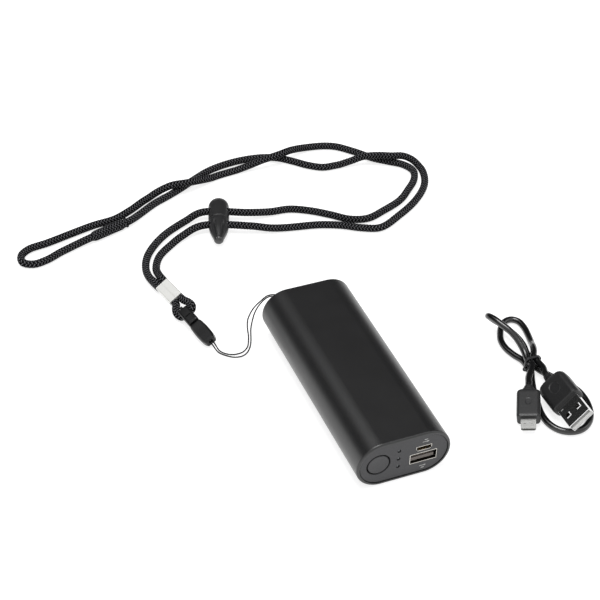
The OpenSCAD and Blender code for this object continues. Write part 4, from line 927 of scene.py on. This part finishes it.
class WARMER_OT_sockets(bpy.types.Operator):
    """Makes the output socket, the charging socket and the two printed arrows"""
    bl_idname = "warmer.sockets"
    bl_label = "Sockets"

    def execute(self, context):
        low, high, centre = span("usb_a_socket")
        half, wall, corner = (high - low) / 2, 0.35, 0.45
        across = half.x - corner
        bm = bmesh.new()
        sections(bm, facing_y(centre.x, centre.z), [
            (high.y, corner - 0.1), (high.y - 0.1, corner), (low.y + 0.08, corner),
            (low.y, corner - 0.07), (low.y, 0.16), (low.y + 0.12, 0.1), (low.y + 0.2, 0.1),
            (high.y - wall, 0.1)], 32, (across, half.z - corner))
        # The socket's inner walls get nickel painted nearly dark: painted shade
        for f in bm.faces:
            inside = max(abs(v.co.x - centre.x) - across for v in f.verts) < 0.11
            if inside and min(v.co.y for v in f.verts) > low.y + 0.15:
                f.material_index = 1
        for x in (centre.x - 3, centre.x + 3):
            for z in (centre.z - half.z + 0.45, centre.z + half.z - 0.45):
                block(bm, (x - 0.9, low.y + 1.5, z - 0.12), (x + 0.9, low.y + 7, z + 0.12),
                      rounding=0.1)
        dress(to_object("output_socket_shell", bm), ["nickel", "painted_shade_nickel"], "warmer",
              "usb_a_socket")

        low, high, _ = span("usb_a_tongue")
        foot, top = centre.z - 1.94, centre.z - 0.1
        bm = bmesh.new()
        block(bm, (centre.x - 5.57, low.y, foot), (centre.x + 5.57, low.y + 1.3, top),
              rounding=0.15)
        # The tongue's rear and root are painted dark behind its lighter front: painted shade
        shaded = len(bm.faces)
        block(bm, (centre.x - 5.5, low.y + 1.1, foot + 0.05),
              (centre.x + 5.5, high.y, top - 0.05), rounding=0.1)
        block(bm, (low.x, high.y - 3, low.z), (high.x, high.y - 0.02, high.z), rounding=0.1)
        paint_since(bm, shaded, 2)
        count = len(bm.faces)
        for x in (-3.5, -1, 1, 3.5):
            block(bm, (centre.x + x - 0.5, low.y + 0.9, top - 0.05),
                  (centre.x + x + 0.5, high.y - 3.1, top + 0.08), rounding=0.03)
        paint_since(bm, count, 1)
        dress(to_object("output_socket_tongue", bm), ["tongue", "gold", "painted_shade_lcp"],
              "warmer", "usb_a_tongue")

        low, high, centre = span("micro_usb_socket")
        bm = bmesh.new()
        loft(bm, [micro_outline(bm, centre, y, grow) for y, grow in (
            (high.y, 0.0), (low.y + 0.06, 0.0), (low.y, -0.06), (low.y, -0.24),
            (low.y + 0.08, -0.3), (high.y - 0.3, -0.3))])
        dress(to_object("charging_socket_shell", bm), ["nickel"], "warmer", "micro_usb_socket")

        low, high, _ = span("micro_usb_tongue")
        bm = bmesh.new()
        block(bm, low, high, rounding=0.08)
        count = len(bm.faces)
        for k in range(-2, 3):
            x = centre.x + 0.65 * k
            block(bm, (x - 0.2, low.y + 0.3, low.z - 0.04), (x + 0.2, high.y - 0.1, low.z + 0.1),
                  rounding=0.02)
        paint_since(bm, count, 1)
        dress(to_object("charging_socket_tongue", bm), ["tan_tongue", "gold"], "warmer",
              "micro_usb_tongue")

        # Two plain arrows, each a shaft, a head and a bar, 0.03 mm proud of the cap
        face = span("front_cap")[0].y
        back, front = face + 0.02, face - 0.03
        for name, x, z, way in (("charge_arrow", 9.9, 18.95, -1), ("output_arrow", 9.4, 4.7, 1)):
            bm = bmesh.new()
            block(bm, (x - 1.5, front, z - 0.16), (x + 0.8, back, z + 0.16))
            verts = [bm.verts.new((x + a, front, z + b)) for a, b in (
                (0.7, -0.55), (1.7, 0), (0.7, 0.55))]
            head = bmesh.ops.contextual_create(bm, geom=verts)["faces"]
            made = bmesh.ops.extrude_face_region(bm, geom=head)["geom"]
            bmesh.ops.translate(bm, vec=(0, 0.05, 0),
                                verts=[v for v in made if isinstance(v, bmesh.types.BMVert)])
            bar = z + way * -1.25
            block(bm, (x - 0.7, front, bar - 0.2), (x + 0.9, back, bar + 0.2))
            dress(to_object(name, bm), ["print"], "warmer")
        return {"FINISHED"}


class WARMER_OT_inside(bpy.types.Operator):
    """Gives the parts inside the warmer their finishes"""
    bl_idname = "warmer.inside"
    bl_label = "Inside"

    def execute(self, context):
        for key, names in {
                "mask_green": ["main_board", "indicator_board"], "led": ["status_leds"],
                "switch": ["tact_switch"], "plunger": ["switch_plunger"],
                "chip": ["controller_chip", "mosfets"], "ferrite": ["boost_inductor"],
                "ceramic": ["capacitors"], "wrap": ["cell_left", "cell_right"],
                "strip": ["nickel_strip_front", "nickel_strip_rear"],
                "holder": ["cell_holder_front", "cell_holder_rear"],
                "film": ["heater_film_top", "heater_film_bottom"],
                "pad": ["insulation_pad_top", "insulation_pad_bottom"],
                "resin": ["thermistor"], "red_wire": ["battery_lead_red", "heater_leads"],
                "black_wire": ["battery_lead_black"], "foam": ["rear_foam_pad"]}.items():
            for name in names:
                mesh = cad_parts[name].data
                mesh.materials.clear()
                mesh.materials.append(finish(key))
        return {"FINISHED"}


class WARMER_OT_clip(bpy.types.Operator):
    """Makes the release clip's two halves"""
    bl_idname = "warmer.clip"
    bl_label = "Release clip"

    def execute(self, context):
        place = facing_x(CLIP, CLIP_MIDDLE)
        at, deep = CLIP_SOCKET_START, 10.0
        # The mouth, from its floor outwards, and then the skin to the far end
        rows = [(at + deep, 0.3, 2.3, 1.45), (at + 0.3, 0.3, 2.3, 1.45), (at, 0.5, 2.3, 1.45)]
        rows += rounded((at + t, w, h, r) for t, w, h, r in (
            (0, 3.0, 2.5, 0.8), (0.25, 3.17, 2.68, 0.9), (0.7, 3.28, 2.75, 1.0),
            (2.1, 3.4, 2.75, 1.0), (4, 3.54, 2.75, 1.0), (5.6, 3.6, 2.75, 1.0),
            (7.6, 3.58, 2.75, 1.0), (9.4, 3.5, 2.72, 1.0), (11.2, 3.38, 2.62, 1.0),
            (12.4, 3.05, 2.5, 0.9), (13.2, 2.75, 2.35, 0.9), (13.8, 2.45, 2.1, 0.8),
            (CLIP_SOCKET_LENGTH, 2.2, 1.85, 0.7)))
        bm = bmesh.new()
        sections(bm, place, rows)
        # The top falls off towards both flanks
        lower = CLIP.inverted()
        for v in bm.verts:
            x, y, z = lower @ v.co
            fall = 0.5 * max(0, abs(y) - 1.1) * min(1, max(0, (z - CLIP_MIDDLE) / 1.2))
            v.co -= CLIP.to_3x3() @ Vector((0, 0, fall))
        half = to_object("clip_socket_half", bm)
        cuts = bmesh.new()
        sections(cuts, CLIP @ Matrix.Translation((at + 5.6, 0, 0)), [
            (CLIP_TOP - 0.3, 0.9), (CLIP_TOP - 0.2, 1.0), (CLIP_TOP + 0.5, 1.2)], 32, (3.6, 0.9))
        block(cuts, (at + 12.2, -1.2, CLIP_MIDDLE - 0.6), (at + 15, 1.2, CLIP_MIDDLE + 0.6), CLIP)
        cut(half, cuts)
        dress(half, ["acetal"], "warmer", "buckle_socket")

        bm = bmesh.new()
        sections(bm, place, rounded((
            (0, 2.5, 2.3, 0.8), (0.2, 2.75, 2.6, 1.0), (0.6, 2.9, 2.75, 1.2),
            (5, 2.9, 2.75, 1.2), (9.6, 2.9, 2.75, 1.2), (10.4, 2.85, 2.7, 1.2),
            (CLIP_PLUG_LENGTH, 2.6, 2.45, 1.0))))
        half = to_object("clip_plug_half", bm)
        cuts = bmesh.new()
        rod(cuts, CLIP @ Vector((2.5, -5, 3.15)), CLIP @ Vector((2.5, 5, 3.15)), 1.95, 36)
        for near, far in ((0.8, 5), (-5, -0.8)):
            block(cuts, (-0.5, near, 1.2), (4.95, far, 5.1), CLIP)
        cut(half, cuts)
        cuts = bmesh.new()
        sections(cuts, CLIP @ Matrix.Translation((7.6, 0, 0)), [
            (CLIP_TOP - 0.45, 0.3), (CLIP_TOP + 0.5, 0.5)], 24, (1.65, 1.15))
        cut(half, cuts)
        bm = reopened(half)
        block(bm, (-3.2, -0.8, 1.2), (1.5, 0.8, 3.9), CLIP, 0.35, 3)
        for side in (-1.57, 1.57):
            block(bm, (10.3, side - 0.78, CLIP_MIDDLE - 1.5),
                  (21.2, side + 0.78, CLIP_MIDDLE + 1.5), CLIP, 0.4, 3)
        dress(to_object("clip_plug_half", bm), ["acetal"], "lanyard", "buckle_plug")
        return {"FINISHED"}


class WARMER_OT_crimp(bpy.types.Operator):
    """Makes the folded metal crimp"""
    bl_idname = "warmer.crimp"
    bl_label = "Crimp"

    def execute(self, context):
        w, h, r = CRIMP_WIDTH / 2, CRIMP_HEIGHT / 2, 0.7
        rows = [(0.25, 0.3, w - 0.9, h - 0.9), (0, 0.35, w - 0.85, h - 0.85),
                (0, r - 0.1, w - r, h - r), (0.12, r, w - r, h - r)]
        rows += [(CRIMP_LENGTH - t, *shape) for t, *shape in reversed(rows)]
        bm = bmesh.new()
        sections(bm, facing_x(CRIMP, h), rows, 40)
        crimp = to_object("folded_crimp", bm)
        cuts = bmesh.new()
        block(cuts, (-1, -0.09, CRIMP_HEIGHT - 0.35), (CRIMP_LENGTH + 1, 0.09, CRIMP_HEIGHT + 1),
              CRIMP)
        block(cuts, (-1, -0.5, -1), (CRIMP_LENGTH + 1, 0.5, 0.25), CRIMP)
        cut(crimp, cuts)
        dress(crimp, ["crimp"], "lanyard", "cord_crimp")
        return {"FINISHED"}


class WARMER_OT_bead(bpy.types.Operator):
    """Makes the slide bead's domed head and leaf-shaped tail"""
    bl_idname = "warmer.bead"
    bl_label = "Slide bead"

    def execute(self, context):
        seam, place = -0.95, facing_x(BEAD, BEAD_MIDDLE)

        def ovals(rows):
            bm = bmesh.new()
            loft(bm, [outline(bm, place @ Matrix.Translation((0, 0, t)) @ Matrix.Diagonal(
                (w / h, 1, 1, 1)), h, segments=96) for t, w, h in rows])
            return bm

        def drilled(name, bm, side, stands_for):
            piece, hole = to_object(name, bm), bmesh.new()
            rod(hole, in_bead(side, -12), in_bead(side, 12), BEAD_BORE, 36)
            cut(piece, hole)
            dress(piece, ["bead"], "slide_bead", stands_for)

        rows = [(seam + 0.05, 5.0, 3.6), (seam + 0.12, 5.25, 3.85), (seam + 0.4, 5.4, 4.0)]
        rows += [(seam + 10.9 + 6.7 * math.sin(a), 5.4 * math.cos(a), 4.0 * math.cos(a))
                 for a in (math.radians(7.5 * k) for k in range(12))]
        drilled("bead_head", ovals(rows), 1, "slide_bead_head")

        marks = (0, 3, 6.5, 10, 13, 15.2, 17)
        widths, heights = (5.4, 5.4, 5.2, 4.6, 3.7, 2.9, 2.3), (4, 4, 3.9, 3.6, 3.1, 2.7, 2.3)
        rows = [(seam - 0.05, 5.0, 3.65), (seam - 0.12, 5.2, 3.85), (seam - 0.4, 5.38, 4.0)]
        for t in np.arange(0.9, 17.01, 0.45):
            near = np.clip(t + np.linspace(-1.5, 1.5, 7), 0, 18)
            rows.append((seam - t, *(np.interp(near, marks, sizes).mean()
                                     for sizes in (widths, heights))))
        end, wide, high = rows[-1]
        rows += [(end - 1.7 * math.sin(a), wide * math.cos(a), high * math.cos(a))
                 for a in map(math.radians, (15, 30, 45, 60, 72, 83))]
        bm = ovals(rows)
        # Two soft creases run down the tail's upper side
        lower, wide_at = place.inverted(), sorted((t, w) for t, w, h in rows)
        for v in bm.verts:
            across, up, along = lower @ v.co
            if up > 0:
                wide = np.interp(along, *zip(*wide_at))
                crease = math.exp(-((abs(across) / wide - 0.42) / 0.1) ** 2)
                reach = min(1, max(0, (seam - along - 3) / 4), (along - rows[-1][0]) / 5)
                v.co.z -= 0.8 * crease * reach * min(1, up / 2)
        drilled("bead_tail", bm, -1, "slide_bead_tail")
        return {"FINISHED"}


class WARMER_OT_lanyard(bpy.types.Operator):
    """Makes the braided cords and the thin string"""
    bl_idname = "warmer.lanyard"
    bl_label = "Lanyard cords"

    def execute(self, context):
        settings = context.scene.hand_warmer_lanyard
        radius, pitch = settings.cord_diameter / MM / 2, settings.braid_pitch / MM
        weave, step = (pitch, settings.braid_depth / MM), pitch / 5

        def near_crimp(share):
            return 0.14 * np.exp(-((share - 0.005) / 0.004) ** 2)

        def tapered(share):
            return -0.27 * (np.exp(-(share / 0.08) ** 2) + np.exp(-((1 - share) / 0.08) ** 2))

        route = smooth_route(LANYARD, step, radius)
        cord = tube("neck_cord", route, radius, 20, 4, *weave, near_crimp)
        dress(cord, ["braid"], "lanyard", "lanyard_cord", crease=80)
        start, end = np.array(SPLICE, float)
        inset = (end - start) / np.linalg.norm(end - start)
        line = smooth_route([start + inset, (start + end) / 2, end - inset], step)
        splice = tube("splice_braid", line, settings.splice_diameter / MM / 2, 30, 6, *weave,
                      tapered)
        dress(splice, ["braid"], "lanyard", "splice_sleeve", crease=80)

        route = smooth_route(EYE, step)
        eye = tube("eye_loop", route, radius, 20, 4, *weave)
        dress(eye, ["braid"], "lanyard", "lanyard_eye_loop", crease=80)

        radius = settings.string_diameter / MM / 2
        route = smooth_route(tether_points(), 0.4)
        string = tube("tether", route, radius, 10, 5, 0.5)
        dress(string, ["string"], "warmer", "tether_string", crease=80)
        return {"FINISHED"}


class WARMER_OT_plugs(bpy.types.Operator):
    """Makes the charging cable's two plugs and its tie"""
    bl_idname = "warmer.plugs"
    bl_label = "Plugs and tie"

    def execute(self, context):
        def grip(name, stands_for, plug, middle, rows, dent_x, dent_width, dent):
            bm, cuts = bmesh.new(), bmesh.new()
            sections(bm, facing_x(plug, middle), rounded(rows), 64)
            body = to_object(name, bm)
            sections(cuts, plug @ Matrix.Translation((dent_x, 0, 0)), dent, 48, (dent_width, 0))
            cut(body, cuts)
            dress(body, ["overmould"], "charging_cable", stands_for)

        # Each grip: the ringed collar, the shoulder, the flat grip and its front edge
        grip("large_plug_grip", "usb_a_plug_body", LARGE_PLUG, LARGE_MIDDLE, (
            (-21, 1.75, 1.75, 1.7), (-20.9, 2.0, 2.0, 1.95), (-20.2, 2.05, 2.05, 2.0),
            (-20.1, 1.85, 1.85, 1.8), (-19.6, 1.85, 1.85, 1.8), (-19.5, 2.2, 2.2, 2.15),
            (-18.7, 2.25, 2.25, 2.2), (-18.6, 1.95, 1.95, 1.9), (-18.1, 1.95, 1.95, 1.9),
            (-18.0, 2.45, 2.45, 2.4), (-17.0, 2.5, 2.5, 2.45), (-16.6, 3.6, 2.9, 2.4),
            (-16.3, 5.4, 3.5, 2.6), (-15.7, 6.7, 3.9, 2.8), (-14.6, 7.4, 4.12, 2.9),
            (-12.5, 7.7, 4.2, 3.0), (-6, 7.75, 4.2, 3.0), (-1.2, 7.7, 4.2, 3.0),
            (-0.4, 7.45, 4.1, 2.9), (-0.05, 7.0, 3.75, 2.6), (0, 6.6, 3.3, 2.2)),
            -9, 0.8, [(6.15, 2.0), (6.33, 2.5), (6.85, 3.1)])

        w, h, r, wall, length = 6.0, 2.25, 0.4, 0.35, 12.5
        bm = bmesh.new()
        sections(bm, facing_x(LARGE_PLUG, LARGE_MIDDLE), [
            (-0.02, r), (length - 0.2, r), (length, r - 0.12), (length, 0.12),
            (length - 0.2, 0.05), (-0.02, 0.05)], 32, (w - r, h - r), closed=True)
        shell = to_object("large_plug_shell", bm)
        cuts = bmesh.new()
        for y in (-3, 3):
            for z in (-1, 3.9):
                block(cuts, (5.625, y - 1.2, z), (8.025, y + 1.2, z + 1.6), LARGE_PLUG)
        block(cuts, (2.0, -4.6, 4.2), (3.2, -3.2, 5.0), LARGE_PLUG)
        block(cuts, (-1, -0.04, -0.5), (length + 1, 0.04, wall + 0.1), LARGE_PLUG)
        cut(shell, cuts)
        # Painted highlights on the windows' edges and on the front rim
        bm = reopened(shell)
        count = len(bm.faces)
        for y in (-3, 3):
            block(bm, (7.62, y - 1.25, 4.16), (8.1, y + 1.25, 4.58), LARGE_PLUG, 0.05)
            block(bm, (5.6, y + 0.8, 4.16), (8.1, y + 1.28, 4.58), LARGE_PLUG, 0.05)
        paint_since(bm, count, 1)
        lower = LARGE_PLUG.inverted()
        for face in bm.faces:
            if min((lower @ v.co).x for v in face.verts) > length - 0.3:
                face.material_index = 1
        dress(to_object("large_plug_shell", bm), ["plug_steel", "painted_highlight_steel"], "charging_cable",
              "usb_a_plug_shell")

        bm = bmesh.new()
        block(bm, (0, -5.58, 0.37), (12.3, 5.58, 2.3), LARGE_PLUG, 0.12)
        count = len(bm.faces)
        for y, reach in ((-3.5, 10.8), (-1, 10), (1, 10), (3.5, 10.8)):
            block(bm, (1, y - 0.55, 2.2), (reach, y + 0.55, 2.36), LARGE_PLUG, 0.03)
        paint_since(bm, count, 1)
        # A sheet painted dark under the windows: painted shade
        count = len(bm.faces)
        block(bm, (4.4, -5.5, 2.2), (9.2, 5.5, 2.4), LARGE_PLUG, 0.03)
        paint_since(bm, count, 2)
        dress(to_object("large_plug_insert", bm), ["white_insert", "gold", "painted_shade_lcp"],
              "charging_cable", "usb_a_plug_insert")

        grip("small_plug_grip", "micro_plug_body", SMALL_PLUG, SMALL_MIDDLE, (
            (-19.5, 1.75, 1.75, 1.7), (-19.3, 2.1, 2.1, 2.05), (-18.9, 2.2, 2.2, 2.15),
            (-18.3, 2.2, 2.2, 2.15), (-18.1, 2.05, 2.05, 2.0), (-17.9, 2.05, 2.05, 2.0),
            (-17.7, 2.6, 2.35, 1.8), (-17.5, 2.75, 2.45, 1.8), (-16.3, 2.85, 2.5, 1.8),
            (-16.1, 3.6, 2.7, 1.8), (-15.8, 4.5, 2.95, 1.7), (-15.3, 5.1, 3.15, 1.6),
            (-14.6, 5.35, 3.25, 1.6), (-13.6, 5.4, 3.25, 1.6), (-7, 5.4, 3.25, 1.6),
            (-1.6, 5.4, 3.25, 1.6), (-0.6, 5.3, 3.2, 1.5), (-0.1, 5.05, 3.0, 1.4),
            (0, 4.7, 2.7, 1.2)),
            -8.5, 0.6, [(4.055, 0.9), (4.125, 1.4), (4.375, 1.9)])

        def nose(bm, x, grow):
            w, h = 3.45 + grow, SMALL_MIDDLE + grow
            return ring_of(bm, [SMALL_PLUG @ Vector((x, y, SMALL_MIDDLE + z)) for y, z in (
                (-w, h), (w, h), (w, -0.2 * h), (0.78 * w, -h), (-0.78 * w, -h),
                (-w, -0.2 * h))])

        bm = bmesh.new()
        loft(bm, [nose(bm, x, grow) for x, grow in (
            (-0.02, 0), (5.4, 0), (5.5, -0.08), (5.5, -0.22), (5.4, -0.3), (2.2, -0.3))])
        shell = to_object("small_plug_shell", bm)
        cuts = bmesh.new()
        for y in (-1.6, 1.6):
            block(cuts, (2.6, y - 0.55, 1.6), (4.2, y + 0.55, 2.2), SMALL_PLUG)
        cut(shell, cuts)
        dress(shell, ["satin_nickel"], "charging_cable", "micro_plug_shell")

        # A flat band round the four strands, and its two ends curled up as rings
        bm = bmesh.new()
        corner, inside = 1.8, (TIE_STEP + 3.2 + 0.4) / 2
        centre = Matrix.Translation(TIE + Vector((0, 0, TIE_LOW + TIE_STEP / 2))) @ ALONG_Y
        sections(bm, centre, [(y, corner + r) for y, r in (
            (-0.6, 0.1), (-0.45, 0.0), (0.45, 0.0), (0.6, 0.1), (0.6, 0.4), (0.45, 0.55),
            (-0.45, 0.55), (-0.6, 0.4))], 48, (inside - corner,) * 2, closed=True)
        for at, turn, size in (((90.5, -15.2, 3.9), (70, 25, 20), 1.0),
                               ((82.6, -15, 4.2), (60, -20, 10), 0.85)):
            squeezed = turned(at, turn) @ Matrix.Diagonal((1, 0.7, 1, 1))
            wire = (Matrix.Translation((1.7 * size, 0, 0)) @ Matrix.Rotation(math.pi / 2, 4, "X")
                    @ Matrix.Rotation(-math.pi / 10, 4, "Z"))
            loft(bm, [outline(bm, squeezed @ Matrix.Rotation(math.radians(a), 4, "Z") @ wire, 0.32,
                              segments=10) for a in range(0, 360, 15)], closed=True)
        dress(to_object("wire_tie", bm), ["tie"], "charging_cable", "cable_tie")
        return {"FINISHED"}


class WARMER_OT_cable(bpy.types.Operator):
    """Makes the charging cable's cord"""
    bl_idname = "warmer.cable"
    bl_label = "Charging cable"

    def execute(self, context):
        radius = context.scene.hand_warmer_cable.cable_diameter / MM / 2
        route = smooth_route(CABLE, 0.6, radius)
        cable = tube("charging_cord", route, radius, 24, 8, 1)
        dress(cable, ["jacket"], "charging_cable", "cable_cord", crease=80)
        return {"FINISHED"}


class WARMER_PT_panel(bpy.types.Panel):
    """Lists the makers in the sidebar"""
    bl_idname = "WARMER_PT_panel"
    bl_label = "Hand warmer"
    bl_space_type = "VIEW_3D"
    bl_region_type = "UI"
    bl_category = "Hand warmer"

    def draw(self, context):
        for group in SETTINGS:
            settings = getattr(context.scene, group)
            for name in settings.__annotations__:
                self.layout.prop(settings, name)
        for maker in MAKERS:
            self.layout.operator(maker.bl_idname)


SETTINGS = {
    "hand_warmer": WarmerSettings, "hand_warmer_lanyard": LanyardSettings,
    "hand_warmer_cable": CableSettings, "hand_warmer_stage": StageSettings}
MAKERS = (
    WARMER_OT_stage, WARMER_OT_sleeve, WARMER_OT_caps, WARMER_OT_button, WARMER_OT_sockets,
    WARMER_OT_inside, WARMER_OT_clip, WARMER_OT_crimp, WARMER_OT_bead, WARMER_OT_lanyard,
    WARMER_OT_plugs, WARMER_OT_cable)


def register():
    for group in SETTINGS.values():
        bpy.utils.register_class(group)
    for name, group in SETTINGS.items():
        setattr(bpy.types.Scene, name, PointerProperty(type=group))
    for maker in MAKERS + (WARMER_PT_panel,):
        bpy.utils.register_class(maker)


def unregister():
    for maker in (WARMER_PT_panel,) + MAKERS[::-1]:
        bpy.utils.unregister_class(maker)
    for name in SETTINGS:
        delattr(bpy.types.Scene, name)
    for group in SETTINGS.values():
        bpy.utils.unregister_class(group)


def main():
    """Makes everything in turn."""
    register()
    for maker in MAKERS:
        space, name = maker.bl_idname.split(".")
        getattr(getattr(bpy.ops, space), name)()


if __name__ == "__main__":
    main()
